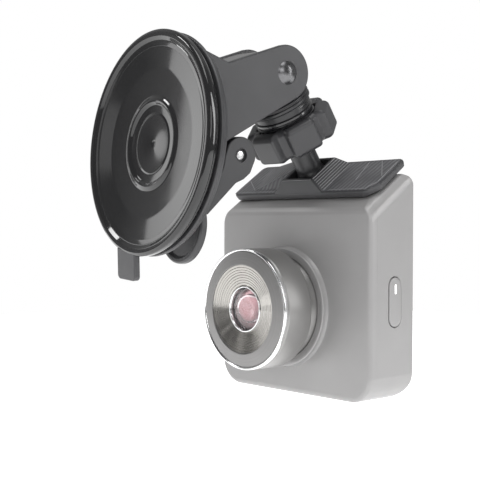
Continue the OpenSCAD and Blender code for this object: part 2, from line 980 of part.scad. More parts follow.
// side view of a cheek: foot on the dome, round end about the pivot
module cheek_shape() {
  top_at = 108;
  low_at = low_slope - 90;
  far = 48.2;
  polygon([[8.2, 31.2], [21.2, 28.1],
    [pivot_back + cheek_radius * cos(top_at), pivot_up + cheek_radius * sin(top_at)],
    [pivot_back, pivot_up],
    [pivot_back + cheek_radius * cos(low_at), pivot_up + cheek_radius * sin(low_at)],
    [pivot_back + cheek_radius * cos(low_at) - far * cos(low_slope),
     pivot_up + cheek_radius * sin(low_at) - far * sin(low_slope)],
    [8.2, -5.8]]);
  translate([pivot_back, pivot_up])
    circle(r = cheek_radius);
}

module base_housing() {
  color([0.3, 0.3, 0.31])
    in_mount()
      difference() {
        union() {
          around_y()
            polygon([[12.6, 4.65], [cup_radius - 3.2, 4.65], [cup_radius - 3.2, 6.1],
              [cup_radius - 1, 6.1], [cup_radius - 1.3, 7.2], [cup_radius - 4.6, 9],
              [24, 11], [14, 12.4], [7, 12.8], [7, boss_end], [stem_bore, boss_end],
              [stem_bore, 8.7], [12.6, 8.7]]);
          side_plate(inner_width, outer_width)
            cheek_shape();
          side_plate(-outer_width, -inner_width)
            cheek_shape();
          // web joining the cheeks along their top
          side_plate(-inner_width - 0.1, inner_width + 0.1)
            polygon([[8.2, 30.9], [21.2, 27.8], [37.4, 35.1], [37.4, 32.6], [21.4, 25.1],
              [8.2, 27.9]]);
        }
        rod_x(-40, 40, bolt_bore, pivot_back, pivot_up);
      }
}

module pivot_bolt() {
  color([0.1, 0.1, 0.1])
    in_mount()
      translate([outer_width, pivot_back, pivot_up])
        rotate([0, 90, 0])
          rotate_extrude()
            polygon(concat([[0, -2 * outer_width - 3.2],
              [bolt_radius, -2 * outer_width - 3.2], [bolt_radius, 0.02], [3.9, 0.02]],
              arc_points([0, -2.2], 4.5, 29.5, 90, 8)));
}

module pivot_nut() {
  color([0.12, 0.12, 0.12])
    in_mount()
      difference() {
        rod_x(-outer_width - 3, -outer_width - 0.02, 4.6, pivot_back, pivot_up, $fn = 6);
        rod_x(-40, 40, bolt_radius + 0.02, pivot_back, pivot_up);
      }
}

module cup_stem() {
  color([0.6, 0.6, 0.62])
    in_mount()
      difference() {
        union() {
          rod_y(5.1, 6.6, 9.5, 0, 0);
          rod_y(5.1, pin_back + 3.2, stem_radius, 0, 0);
        }
        rod_x(-10, 10, pin_radius + turn_gap, pin_back, 0);
      }
}

module lever_pin() {
  color([0.92, 0.92, 0.92])
    in_mount()
      rod_x(-8.2, 8.2, pin_radius, pin_back, 0);
}

module lever_side() {
  translate([pin_back, 0])
    circle(r = hub_radius);
  translate([pin_back - 2.6, -1.5])
    circle(r = hub_radius - 1.5);
  polygon([[pin_back + hub_radius, 0], [pin_back + hub_radius - 0.1, -2.5],
    [pin_back + 4.6, -5.3], [pin_back + 2.2, -7.6], [pin_back - 0.8, -9.2],
    [pin_back - 10.7, -20.4], [pin_back - 17, -19.2], [pin_back - 14.5, -14],
    [pin_back - 10, -9.5], [pin_back - 6, -5], [pin_back - 4, 0]]);
}

module lock_lever() {
  color([0.28, 0.28, 0.29])
    in_mount()
      difference() {
        union() {
          side_plate(-8.2, 8.2)
            lever_side();
          rod_y(pin_back - 15.6, pin_back - 12.6, paddle_radius, 0, -25);
        }
        // room for the stem and the boss between the two arms
        box([-stem_radius - 0.4, 10, -7.6], [stem_radius + 0.4, 60, 12]);
        // dished front of the paddle
        rod_y(pin_back - 16, pin_back - 14.9, paddle_radius - 1.8, 0, -25.4);
        rod_x(-20, 20, pin_radius + 0.01, pin_back, 0);
      }
}

suction_cup();
base_ring();
base_housing();
pivot_bolt();
pivot_nut();
cup_stem();
lever_pin();
lock_lever();
socket_arm();
pivot_washers();
clamp_nut();
swivel_washer();
ball_seat();
ball_stud();
stud_screw();
adapter_plate();
adhesive_pad();
front_cover();
rear_cover();
lens_socket();
lens_retainer();
lens_barrel();
chrome_ring();
face_ring();
lens_cone();
front_lens();
lens_tube();
rear_lens();
aperture_ring();
ir_filter();
image_sensor();
sensor_board();
main_board();
processor();
heat_spreader();
board_parts();
battery();
speaker();
microphone();
card_socket();
usb_port();
rear_camera_port();
lcd_panel();
screen_glass();
antenna();
key_board();
power_switch_board();
case_screws();
board_screws();
power_button();
button_light();
key_menu();
key_up();
key_down();
key_record();
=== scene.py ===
import json
import math

import bmesh
import bpy
from mathutils import Matrix, Vector


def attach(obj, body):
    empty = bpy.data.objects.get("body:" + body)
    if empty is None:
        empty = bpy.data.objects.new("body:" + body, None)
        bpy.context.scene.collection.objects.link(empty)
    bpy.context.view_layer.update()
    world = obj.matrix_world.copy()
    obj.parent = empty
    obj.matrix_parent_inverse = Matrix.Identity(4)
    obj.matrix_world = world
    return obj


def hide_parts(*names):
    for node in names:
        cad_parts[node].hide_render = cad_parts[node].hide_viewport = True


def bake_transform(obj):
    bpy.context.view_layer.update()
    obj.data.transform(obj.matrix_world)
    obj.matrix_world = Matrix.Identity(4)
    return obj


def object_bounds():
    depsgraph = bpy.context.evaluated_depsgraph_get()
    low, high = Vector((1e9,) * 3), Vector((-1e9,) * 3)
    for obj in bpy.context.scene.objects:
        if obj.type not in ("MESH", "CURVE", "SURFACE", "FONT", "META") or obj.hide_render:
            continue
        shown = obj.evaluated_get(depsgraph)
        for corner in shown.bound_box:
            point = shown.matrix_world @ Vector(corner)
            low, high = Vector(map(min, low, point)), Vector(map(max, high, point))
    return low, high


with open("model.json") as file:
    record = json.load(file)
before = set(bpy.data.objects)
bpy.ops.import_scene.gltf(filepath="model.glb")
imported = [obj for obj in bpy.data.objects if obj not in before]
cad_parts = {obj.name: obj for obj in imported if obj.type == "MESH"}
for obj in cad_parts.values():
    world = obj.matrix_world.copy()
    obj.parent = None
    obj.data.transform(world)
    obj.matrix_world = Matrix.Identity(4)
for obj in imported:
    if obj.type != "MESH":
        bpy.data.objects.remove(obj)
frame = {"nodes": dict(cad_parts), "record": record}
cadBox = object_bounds()
scene = bpy.context.scene
cadNodes = frame["nodes"]
print("frame loaded:", len(cadNodes), "nodes")

# Working frames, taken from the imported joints. Lengths below are millimetres in these frames.
joints = {j["name"]: j for j in frame["record"]["behaviour"]["joints"]}
acrossAxis = Vector(joints["arm_tilt"]["axis"]).normalized()
glassAxis = Vector(joints["stem_slide"]["axis"]).normalized()
neckAxis = Vector(joints["ball_swivel"]["axis"]).normalized()
tiltPoint = Vector(joints["arm_tilt"]["pos_m"])
ballPoint = Vector(joints["ball_swivel"]["pos_m"])
lensPoint = Vector(joints["lens_tilt"]["pos_m"])
lensX, lensZ = -3.2, 29.8  # lens centre from the camera's bottom middle
ballHeight = 24.4  # ball centre above the plate


def frameOf(xAxis, yAxis, zAxis, origin):
    turn = Matrix((xAxis, yAxis, zAxis)).transposed().to_4x4()
    return Matrix.Translation(origin) @ turn @ Matrix.Scale(0.001, 4)


worldX, worldY, worldZ = Vector((1, 0, 0)), Vector((0, 1, 0)), Vector((0, 0, 1))
mountFrame = frameOf(acrossAxis, -glassAxis, acrossAxis.cross(-glassAxis), Vector((0, 0, 0)))
armUp = (tiltPoint - ballPoint).normalized()
armFrame = frameOf(acrossAxis, armUp.cross(acrossAxis), armUp, ballPoint)
cameraFrame = frameOf(worldX, worldY, worldZ, lensPoint - Vector((lensX, 3.0, lensZ)) / 1000)
plateFrame = frameOf(worldX, neckAxis.cross(worldX), neckAxis, ballPoint - neckAxis * ballHeight / 1000)

# Turns a drawing's (u, v, depth) so that depth runs along the frame's x or y; left alone it runs along z
alongX = Matrix(((0, 0, 1, 0), (1, 0, 0, 0), (0, 1, 0, 0), (0, 0, 0, 1)))
alongY = Matrix(((1, 0, 0, 0), (0, 0, 1, 0), (0, 1, 0, 0), (0, 0, 0, 1)))


def shift(x, y, z):
    return Matrix.Translation(Vector((x, y, z)))


def roundCorners(points, radii, steps=5, closed=True):
    # each corner becomes a short arc; radii is one number or one per corner
    count, result = len(points), []
    for i, p in enumerate(points):
        radius = radii[i] if isinstance(radii, (list, tuple)) else radii
        if radius <= 0 or (not closed and i in (0, count - 1)):
            result.append(tuple(p))
            continue
        here, before, after = Vector(p), Vector(points[i - 1]), Vector(points[(i + 1) % count])
        a, b = before - here, after - here
        if a.length < 1e-6 or b.length < 1e-6:
            result.append(tuple(p))
            continue
        half = max(a.angle(b) / 2, 0.05)
        reach = min(radius / math.tan(half), a.length * 0.48, b.length * 0.48)
        start, end = here + a.normalized() * reach, here + b.normalized() * reach
        bend = reach * math.tan(half)
        if bend < 1e-6 or abs(half - math.pi / 2) < 0.01:
            result.append(tuple(p))
            continue
        middle = here + (a.normalized() + b.normalized()).normalized() * (bend / math.sin(half))
        first, last = start - middle, end - middle
        sweep = first.angle(last)
        for k in range(steps + 1):
            t = k / steps
            spoke = (first * math.sin((1 - t) * sweep) + last * math.sin(t * sweep)) / math.sin(sweep)
            result.append(tuple(middle + spoke))
    return result


def arc(centre, radius, start, stop, steps):
    return [(centre[0] + radius * math.cos(math.radians(start + (stop - start) * k / steps)),
        centre[1] + radius * math.sin(math.radians(start + (stop - start) * k / steps))) for k in range(steps + 1)]


def offsetOutline(outline, inset):
    # moves a closed outline inwards along its own normals
    area = sum(outline[i - 1][0] * p[1] - p[0] * outline[i - 1][1] for i, p in enumerate(outline))
    side = 1 if area > 0 else -1
    result = []
    for i, p in enumerate(outline):
        before, here, after = Vector(outline[i - 1]), Vector(p), Vector(outline[(i + 1) % len(outline)])
        a, b = (here - before), (after - here)
        a = a.normalized() if a.length > 1e-9 else b.normalized()
        b = b.normalized() if b.length > 1e-9 else a
        normal = Vector((-(a.y + b.y), a.x + b.x)) * side
        if normal.length < 1e-6:
            result.append(tuple(here))
            continue
        normal.normalize()
        lean = max(normal.dot(Vector((-a.y, a.x)) * side), 0.5)
        result.append(tuple(here + normal * (inset / lean)))
    return result


def newObject(name, data):
    obj = bpy.data.objects.new(name, data)
    scene.collection.objects.link(obj)
    return obj


def fromBmesh(name, mesh):
    data = bpy.data.meshes.new(name)
    mesh.to_mesh(data)
    mesh.free()
    return newObject(name, data)


def meshFrom(name, verts, faces, where, sharp=40):
    mesh = bpy.data.meshes.new(name)
    mesh.from_pydata([where @ Vector(v) for v in verts], [], faces)
    obj = newObject(name, mesh)
    tidyMesh(obj, sharp)
    return obj


def tidyMesh(obj, sharp=40):
    # outward faces, soft shading on curves and crisp shading on real edges
    mesh = bmesh.new()
    mesh.from_mesh(obj.data)
    bmesh.ops.remove_doubles(mesh, verts=mesh.verts, dist=1e-7)
    bmesh.ops.dissolve_degenerate(mesh, edges=mesh.edges, dist=1e-7)
    bmesh.ops.recalc_face_normals(mesh, faces=mesh.faces)
    for face in mesh.faces:
        face.smooth = True
    for edge in mesh.edges:
        edge.smooth = not (len(edge.link_faces) == 2 and edge.calc_face_angle(0) > math.radians(sharp))
    mesh.to_mesh(obj.data)
    mesh.free()


def applyModifiers(obj):
    bpy.context.view_layer.update()
    evaluated = obj.evaluated_get(bpy.context.evaluated_depsgraph_get())
    mesh = bpy.data.meshes.new_from_object(evaluated)
    obj.modifiers.clear()
    obj.data = mesh


def weighNormals(obj):
    # keeps broad faces flat in the light where rounded edges run into them
    obj.modifiers.new("weigh", "WEIGHTED_NORMAL").keep_sharp = True
    applyModifiers(obj)
    return obj


def cut(obj, *cutters):
    for cutter in cutters:
        modifier = obj.modifiers.new("cut", "BOOLEAN")
        modifier.operation, modifier.solver, modifier.object = "DIFFERENCE", "EXACT", cutter
        applyModifiers(obj)
        bpy.data.objects.remove(cutter)
    tidyMesh(obj)
    return obj


def loft(name, rings, where, closed=False, caps=True, sharp=40):
    # skins rings of equal point count; closed joins the last ring to the first
    size, verts, faces = len(rings[0]), [], []
    for ring in rings:
        verts.extend(ring)
    total = len(rings) if closed else len(rings) - 1
    for i in range(total):
        a, b = i * size, ((i + 1) % len(rings)) * size
        for j in range(size):
            k = (j + 1) % size
            faces.append((a + j, a + k, b + k, b + j))
    if caps and not closed:
        faces.append(tuple(range(size)))
        faces.append(tuple(range((len(rings) - 1) * size, len(rings) * size)))
    return meshFrom(name, verts, faces, where, sharp)


def spin(name, profile, where, steps=160, sharp=40, closed=True):
    # turns a (radius, height) profile about the drawing's depth axis
    verts, faces, count = [], [], len(profile)
    for s in range(steps):
        angle = 2 * math.pi * s / steps
        verts.extend((max(r, 0) * math.cos(angle), max(r, 0) * math.sin(angle), h) for r, h in profile)
    for s in range(steps):
        a, b = s * count, ((s + 1) % steps) * count
        for j in range(count if closed else count - 1):
            k = (j + 1) % count
            faces.append((a + j, a + k, b + k, b + j))
    return meshFrom(name, verts, faces, where, sharp)


def prism(name, outline, low, high, where, edge=0.3, steps=3, sharp=40):
    # an extruded outline whose two rims are rounded by edge
    rings = []
    for k in range(steps + 1):
        t = math.pi / 2 * k / steps
        rings.append((edge * (1 - math.sin(t)), low + edge * (1 - math.cos(t))))
    rings += [(inset, high + low - z) for inset, z in reversed(rings)]
    solid = [[(x, y, z) for x, y in offsetOutline(outline, inset)] for inset, z in rings]
    return weighNormals(loft(name, solid, where, sharp=sharp))


def boxOutline(x0, y0, x1, y1, radius=0.4, steps=4):
    return roundCorners([(x0, y0), (x1, y0), (x1, y1), (x0, y1)], radius, steps)


def capsuleOutline(width, length, steps=16):
    reach = (length - width) / 2
    return arc((0, reach), width / 2, 0, 180, steps) + arc((0, -reach), width / 2, 180, 360, steps)


def discOutline(radius, centre=(0, 0), steps=48):
    return arc(centre, radius, 0, 360 - 360 / steps, steps - 1)


def joinPieces(name, *pieces):
    # several closed shells of one moulding become one object
    mesh = bmesh.new()
    for piece in pieces:
        mesh.from_mesh(piece.data)
        bpy.data.objects.remove(piece)
    return weighNormals(fromBmesh(name, mesh))


def fit(obj, body, material, slot, *nodes):
    obj.data.materials.clear()
    obj.data.materials.append(material)
    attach(obj, body)
    if nodes:
        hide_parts(*nodes)
    return obj


def linearColour(hexText, alpha=1.0):
    values = [int(hexText[i:i + 2], 16) / 255 for i in (1, 3, 5)]
    return tuple(v / 12.92 if v <= 0.04045 else ((v + 0.055) / 1.055) ** 2.4 for v in values) + (alpha,)


def addNode(tree, kind, settings=None, links=None):
    node = tree.nodes.new(kind)
    for key, value in (settings or {}).items():
        if isinstance(key, int) or key in node.inputs:
            node.inputs[key].default_value = value
        else:
            setattr(node, key, value)
    for key, source in (links or {}).items():
        tree.links.new(source, node.inputs[key])
    return node


def startMaterial(name):
    # gives the material, its empty node tree and the object's own coordinates in metres
    material = bpy.data.materials.new(name)
    material.use_nodes = True
    tree = material.node_tree
    tree.nodes.clear()
    return material, tree, addNode(tree, "ShaderNodeTexCoord").outputs["Object"]


def closeMaterial(tree, surface):
    addNode(tree, "ShaderNodeOutputMaterial", {}, {"Surface": surface.outputs[0]})


def perMetre(millimetres):
    # texture scale that repeats once in this many millimetres
    return 1000.0 / millimetres


def twoTones(look):
    # settings that mix a look's dark and light colours
    return {"data_type": "RGBA", 6: linearColour(look["dark"]), 7: linearColour(look["light"])}


def glossRange(roughness, drift, contrast=0.2):
    # settings that turn a noise into a roughness which wanders by drift
    return {"From Min": 0.5 - contrast, "From Max": 0.5 + contrast, "To Min": max(roughness - drift, 0.02),
        "To Max": roughness + drift}


def mouldedFinish(name, look):
    # a plastic surface: broad mottle from the melt, fine spark-eroded grain, slight gloss drift
    material, tree, place = startMaterial(name)
    mottle = addNode(tree, "ShaderNodeTexNoise", {"Scale": perMetre(look["mottleMm"]), "Detail": 3.0},
        {"Vector": place})
    grain = addNode(tree, "ShaderNodeTexNoise", {"Scale": perMetre(look["grainMm"]), "Detail": 2.0},
        {"Vector": place})
    tone = addNode(tree, "ShaderNodeMix", twoTones(look), {0: mottle.outputs["Fac"]})
    gloss = addNode(tree, "ShaderNodeMapRange", glossRange(look["roughness"], look["drift"], 0.25),
        {"Value": grain.outputs["Fac"]})
    relief = addNode(tree, "ShaderNodeBump", {"Strength": look["relief"], "Distance": 0.00004},
        {"Height": grain.outputs["Fac"]})
    surface = addNode(tree, "ShaderNodeBsdfPrincipled", {"IOR": look["ior"], "Coat Weight": look.get("coat",
        0.0), "Coat Roughness": 0.08, "Metallic": look.get("metallic", 0.0)}, {"Base Color": tone.outputs[2],
        "Roughness": gloss.outputs[0], "Normal": relief.outputs[0]})
    closeMaterial(tree, surface)
    return material


def turnedFinish(name, look):
    # metal turned on a lathe: rings of tool marks about the lens axis, drawn coarser than real to show
    material, tree, place = startMaterial(name)
    centred = addNode(tree, "ShaderNodeVectorMath", {"operation": "SUBTRACT", 1: tuple(lensPoint)}, {0: place})
    flat = addNode(tree, "ShaderNodeVectorMath", {"operation": "MULTIPLY", 1: (1.0, 0.0, 1.0)},
        {0: centred.outputs[0]})
    radius = addNode(tree, "ShaderNodeVectorMath", {"operation": "LENGTH"}, {0: flat.outputs[0]})
    turns = addNode(tree, "ShaderNodeMath", {"operation": "MULTIPLY", 1: perMetre(look["ringMm"])},
        {0: radius.outputs["Value"]})
    marks = addNode(tree, "ShaderNodeTexNoise", {"noise_dimensions": "1D", "Scale": 1.0, "Detail": 2.0},
        {"W": turns.outputs[0]})
    cloud = addNode(tree, "ShaderNodeTexNoise", {"Scale": perMetre(9.0), "Detail": 2.0}, {"Vector": place})
    tone = addNode(tree, "ShaderNodeMix", twoTones(look), {0: marks.outputs["Fac"]})
    gloss = addNode(tree, "ShaderNodeMapRange", glossRange(look["roughness"], 0.04),
        {"Value": cloud.outputs["Fac"]})
    relief = addNode(tree, "ShaderNodeBump", {"Strength": look["relief"], "Distance": 0.00005},
        {"Height": marks.outputs["Fac"]})
    grainWay = addNode(tree, "ShaderNodeTangent", {"direction_type": "RADIAL", "axis": "Y"})
    surface = addNode(tree, "ShaderNodeBsdfPrincipled", {"Metallic": look["metallic"],
        "Anisotropic": look["anisotropic"], "Anisotropic Rotation": 0.25}, {"Base Color": tone.outputs[2],
        "Roughness": gloss.outputs[0], "Normal": relief.outputs[0], "Tangent": grainWay.outputs[0]})
    closeMaterial(tree, surface)
    return material


def metalFinish(name, look):
    # plain or plated steel: faint cloudiness and hairline scratches
    material, tree, place = startMaterial(name)
    cloud = addNode(tree, "ShaderNodeTexNoise", {"Scale": perMetre(look["cloudMm"]), "Detail": 4.0},
        {"Vector": place})
    scratch = addNode(tree, "ShaderNodeTexNoise", {"Scale": perMetre(0.6), "Detail": 5.0, "Distortion": 0.4},
        {"Vector": place})
    tone = addNode(tree, "ShaderNodeMix", twoTones(look), {0: cloud.outputs["Fac"]})
    gloss = addNode(tree, "ShaderNodeMapRange", glossRange(look["roughness"], 0.05),
        {"Value": scratch.outputs["Fac"]})
    relief = addNode(tree, "ShaderNodeBump", {"Strength": look["relief"], "Distance": 0.00002},
        {"Height": scratch.outputs["Fac"]})
    surface = addNode(tree, "ShaderNodeBsdfPrincipled", {"Metallic": 1.0}, {"Base Color": tone.outputs[2],
        "Roughness": gloss.outputs[0], "Normal": relief.outputs[0]})
    closeMaterial(tree, surface)
    return material


def hatchedFinish(name, look):
    # moulded nylon with fine cut strokes running up the slope, broken by soft patches
    material, tree, place = startMaterial(name)
    lined = addNode(tree, "ShaderNodeMapping", {"Rotation": (math.radians(-34.7), 0.0,
        math.radians(look["turn"]))}, {"Vector": place})
    strokes = addNode(tree, "ShaderNodeTexWave", {"wave_type": "BANDS", "bands_direction": "X",
        "Scale": perMetre(look["strokeMm"] * 20 / math.pi), "Distortion": 2.2, "Detail": 3.0,
        "Detail Scale": 1.6}, {"Vector": lined.outputs[0]})
    patches = addNode(tree, "ShaderNodeTexNoise", {"Scale": perMetre(6.0), "Detail": 2.0}, {"Vector": place})
    shown = addNode(tree, "ShaderNodeMath", {"operation": "MULTIPLY"}, {0: strokes.outputs["Fac"],
        1: patches.outputs["Fac"]})
    grain = addNode(tree, "ShaderNodeTexNoise", {"Scale": perMetre(0.35), "Detail": 2.0}, {"Vector": place})
    tone = addNode(tree, "ShaderNodeMix", twoTones(look), {0: shown.outputs[0]})
    height = addNode(tree, "ShaderNodeMath", {"operation": "ADD"}, {0: shown.outputs[0],
        1: grain.outputs["Fac"]})
    relief = addNode(tree, "ShaderNodeBump", {"Strength": 0.35, "Distance": 0.00008},
        {"Height": height.outputs[0]})
    gloss = addNode(tree, "ShaderNodeMapRange", {"To Min": look["roughness"] - 0.06,
        "To Max": look["roughness"] + 0.08}, {"Value": grain.outputs["Fac"]})
    surface = addNode(tree, "ShaderNodeBsdfPrincipled", {"IOR": 1.53}, {"Base Color": tone.outputs[2],
        "Roughness": gloss.outputs[0], "Normal": relief.outputs[0]})
    closeMaterial(tree, surface)
    return material


def glassFinish(name, look):
    # ground and coated glass: the coating's tint drifts softly over the surface
    material, tree, place = startMaterial(name)
    drift = addNode(tree, "ShaderNodeTexNoise", {"Scale": perMetre(look["driftMm"]), "Detail": 1.0},
        {"Vector": place})
    tone = addNode(tree, "ShaderNodeMix", twoTones(look), {0: drift.outputs["Fac"]})
    surface = addNode(tree, "ShaderNodeBsdfPrincipled", {"Roughness": look["roughness"], "IOR": look["ior"],
        "Transmission Weight": look["clear"], "Metallic": look.get("metallic", 0.0),
        "Coat Weight": look.get("coat", 0.0), "Coat Roughness": 0.02}, {"Base Color": tone.outputs[2]})
    closeMaterial(tree, surface)
    return material


def boardFinish(name, look):
    # solder mask over etched tracks: slightly raised lines on a square grid
    material, tree, place = startMaterial(name)
    tracks = addNode(tree, "ShaderNodeTexBrick", {"Scale": perMetre(6.0), "Mortar Size": 0.03,
        "Color1": linearColour(look["dark"]), "Color2": linearColour(look["mid"]),
        "Mortar": linearColour(look["light"])}, {"Vector": place})
    relief = addNode(tree, "ShaderNodeBump", {"Strength": 0.3, "Distance": 0.00005},
        {"Height": tracks.outputs["Fac"]})
    surface = addNode(tree, "ShaderNodeBsdfPrincipled", {"Roughness": look["roughness"], "IOR": 1.5,
        "Coat Weight": 0.3}, {"Base Color": tracks.outputs["Color"], "Normal": relief.outputs[0]})
    closeMaterial(tree, surface)
    return material


# Glossy plasticised vinyl, compression moulded: deep black, wet-looking, faint flow waviness
glossVinyl = mouldedFinish("glossVinylMoulded", {"dark": "#1c1c1d", "light": "#232324", "mottleMm": 14,
    "grainMm": 5, "roughness": 0.07, "drift": 0.02, "relief": 0.01, "ior": 1.54, "coat": 0.2})
# The same vinyl where the tool was left unpolished: greyer, satin
satinVinyl = mouldedFinish("satinVinylMoulded", {"dark": "#3c3c3e", "light": "#48484a", "mottleMm": 8,
    "grainMm": 0.4, "roughness": 0.42, "drift": 0.05, "relief": 0.2, "ior": 1.52})
# Glass-filled nylon, injection moulded with a spark-eroded skin: charcoal, satin, softly lit edges
charcoalNylon = mouldedFinish("charcoalNylonMoulded", {"dark": "#333335", "light": "#404042", "mottleMm": 11,
    "grainMm": 0.35, "roughness": 0.40, "drift": 0.05, "relief": 0.22, "ior": 1.53})
# Darker, smoother nylon of the collar, thread and ball
darkNylon = mouldedFinish("darkNylonMoulded", {"dark": "#242426", "light": "#2f2f31", "mottleMm": 9,
    "grainMm": 0.3, "roughness": 0.32, "drift": 0.05, "relief": 0.15, "ior": 1.53})
# The thread and collar rim, moulded in a polished tool: black with crisp glints
polishedNylon = mouldedFinish("polishedNylonMoulded", {"dark": "#1f1f21", "light": "#29292b", "mottleMm": 6,
    "grainMm": 0.6, "roughness": 0.18, "drift": 0.04, "relief": 0.04, "ior": 1.53, "coat": 0.4})
# Plate wings: grey nylon with cut strokes between raised facet lines
hatchedNylon = hatchedFinish("hatchedNylonMoulded", {"dark": "#47474a", "light": "#7e7e80", "strokeMm": 0.9,
    "turn": 8, "roughness": 0.42})
# Raised facet lines and ribs of the plate: light grey nylon, the lighter colour a painted highlight along their
# ridges
highlightPaintedNylon = mouldedFinish("highlightPaintedNylonEdge", {"dark": "#727274", "light": "#8c8c8e", "mottleMm": 4,
    "grainMm": 0.3, "roughness": 0.35, "drift": 0.05, "relief": 0.1, "ior": 1.53})
# ABS sprayed with a satin grey metallic paint: warm neutral grey, very fine flake
sprayedAbs = mouldedFinish("satinPaintOnAbs", {"dark": "#979696", "light": "#a09f9f", "mottleMm": 16,
    "grainMm": 0.25, "roughness": 0.40, "drift": 0.04, "relief": 0.06, "ior": 1.5, "coat": 0.12,
    "metallic": 0.25})
# Aluminium, turned, bead blasted and grey anodised: even satin side of the barrel
blastedAluminium = turnedFinish("blastedAnodisedAluminium", {"dark": "#959493", "light": "#a1a09f",
    "ringMm": 0.6, "relief": 0.05, "roughness": 0.36, "anisotropic": 0.2, "metallic": 0.7})
# Flat face ring: the same metal, matt
faceAluminium = turnedFinish("mattAnodisedAluminium", {"dark": "#898888", "light": "#939291", "ringMm": 0.5,
    "relief": 0.03, "roughness": 0.48, "anisotropic": 0.1, "metallic": 0.6})
# Spun and diamond-cut cone: bright streaks that fan out from the glass
spunAluminium = turnedFinish("spunBrightAluminium", {"dark": "#8f8d8a", "light": "#c9c6c1", "ringMm": 0.35,
    "relief": 0.25, "roughness": 0.2, "anisotropic": 0.95, "metallic": 1.0})
# Chrome plate over brass, polished: a thin white line of light
chromePlate = metalFinish("polishedChromePlate", {"dark": "#f2f2f3", "light": "#fcfcfc", "cloudMm": 8,
    "roughness": 0.2, "relief": 0.02})
# Bare turned steel: pin, screws, washers
bareSteel = metalFinish("bareTurnedSteel", {"dark": "#b9b9ba", "light": "#d8d8d8", "cloudMm": 2,
    "roughness": 0.28, "relief": 0.1})
# Black oxide on a pressed rivet head: dark mirror with a soft highlight
blackOxide = metalFinish("blackOxideSteel", {"dark": "#6a6a6b", "light": "#7c7c7e", "cloudMm": 3,
    "roughness": 0.3, "relief": 0.05})
# Acetal, natural: waxy off-white
naturalAcetal = mouldedFinish("naturalAcetalMoulded", {"dark": "#cfcdc4", "light": "#dcdad0", "mottleMm": 5,
    "grainMm": 0.4, "roughness": 0.35, "drift": 0.05, "relief": 0.1, "ior": 1.48})
# Blackened plastic inside the lens and the case
mattBlack = mouldedFinish("blackenedPlastic", {"dark": "#101011", "light": "#1a1a1b", "mottleMm": 5,
    "grainMm": 0.3, "roughness": 0.55, "drift": 0.05, "relief": 0.2, "ior": 1.5})
# Black-backed cover glass, lapped: mirror-like dark panel
coverGlass = glassFinish("blackBackedCoverGlass", {"dark": "#050506", "light": "#08080a", "driftMm": 20,
    "roughness": 0.04, "ior": 1.52, "clear": 0.0, "coat": 0.6})
# Optical glass with a magenta-green coating
coatedGlass = glassFinish("coatedOpticalGlass", {"dark": "#f6e4e8", "light": "#ffffff", "driftMm": 5,
    "roughness": 0.02, "ior": 1.52, "clear": 0.95})
# Inner element whose coating throws back rose light
roseCoating = glassFinish("roseCoatedElement", {"dark": "#e2b4b8", "light": "#f7dcde", "driftMm": 3,
    "roughness": 0.16, "ior": 1.6, "clear": 0.0, "metallic": 0.6})
greenBoard = boardFinish("greenSolderMaskBoard", {"dark": "#0c3d20", "mid": "#0e4625", "light": "#1d6a3c",
    "roughness": 0.3})
goldPlate = metalFinish("goldPlatedAntenna", {"dark": "#c9a24a", "light": "#e0bd66", "cloudMm": 3,
    "roughness": 0.25, "relief": 0.05})
# Closed-cell acrylic foam tape: black, dull, pitted edge
foamTape = mouldedFinish("acrylicFoamTape", {"dark": "#121212", "light": "#1e1e1e", "mottleMm": 3,
    "grainMm": 0.5, "roughness": 0.75, "drift": 0.08, "relief": 0.6, "ior": 1.45})
# White light pipe, lit: glows a little
lightPipe, lightTree, lightPlace = startMaterial("litWhitePolycarbonate")
lightMottle = addNode(lightTree, "ShaderNodeTexNoise", {"Scale": perMetre(2.0)}, {"Vector": lightPlace})
lightTone = addNode(lightTree, "ShaderNodeMix", twoTones({"dark": "#f4f4f2", "light": "#ffffff"}),
    {0: lightMottle.outputs["Fac"]})
lightSurface = addNode(lightTree, "ShaderNodeBsdfPrincipled", {"Roughness": 0.3, "IOR": 1.58,
    "Emission Strength": 0.9, "Emission Color": (1.0, 1.0, 1.0, 1.0)}, {"Base Color": lightTone.outputs[2]})
closeMaterial(lightTree, lightSurface)
print("materials made:", len(bpy.data.materials))

slotFinish = {"cup_rubber": glossVinyl, "mount_plastic": charcoalNylon, "black_metal": blackOxide,
    "steel": bareSteel, "seat_plastic": naturalAcetal, "body_plastic": sprayedAbs,
    "lens_metal": blastedAluminium, "chrome": chromePlate, "lens_glass": coatedGlass,
    "screen_glass": coverGlass, "inner_black": mattBlack, "board": greenBoard, "gold": goldPlate,
    "foam_tape": foamTape, "light_guide": lightPipe}
for part in frame["record"]["subparts"]:
    node = cadNodes[part["node"]]
    node.data.materials.clear()
    node.data.materials.append(slotFinish[part["material_slot"]])

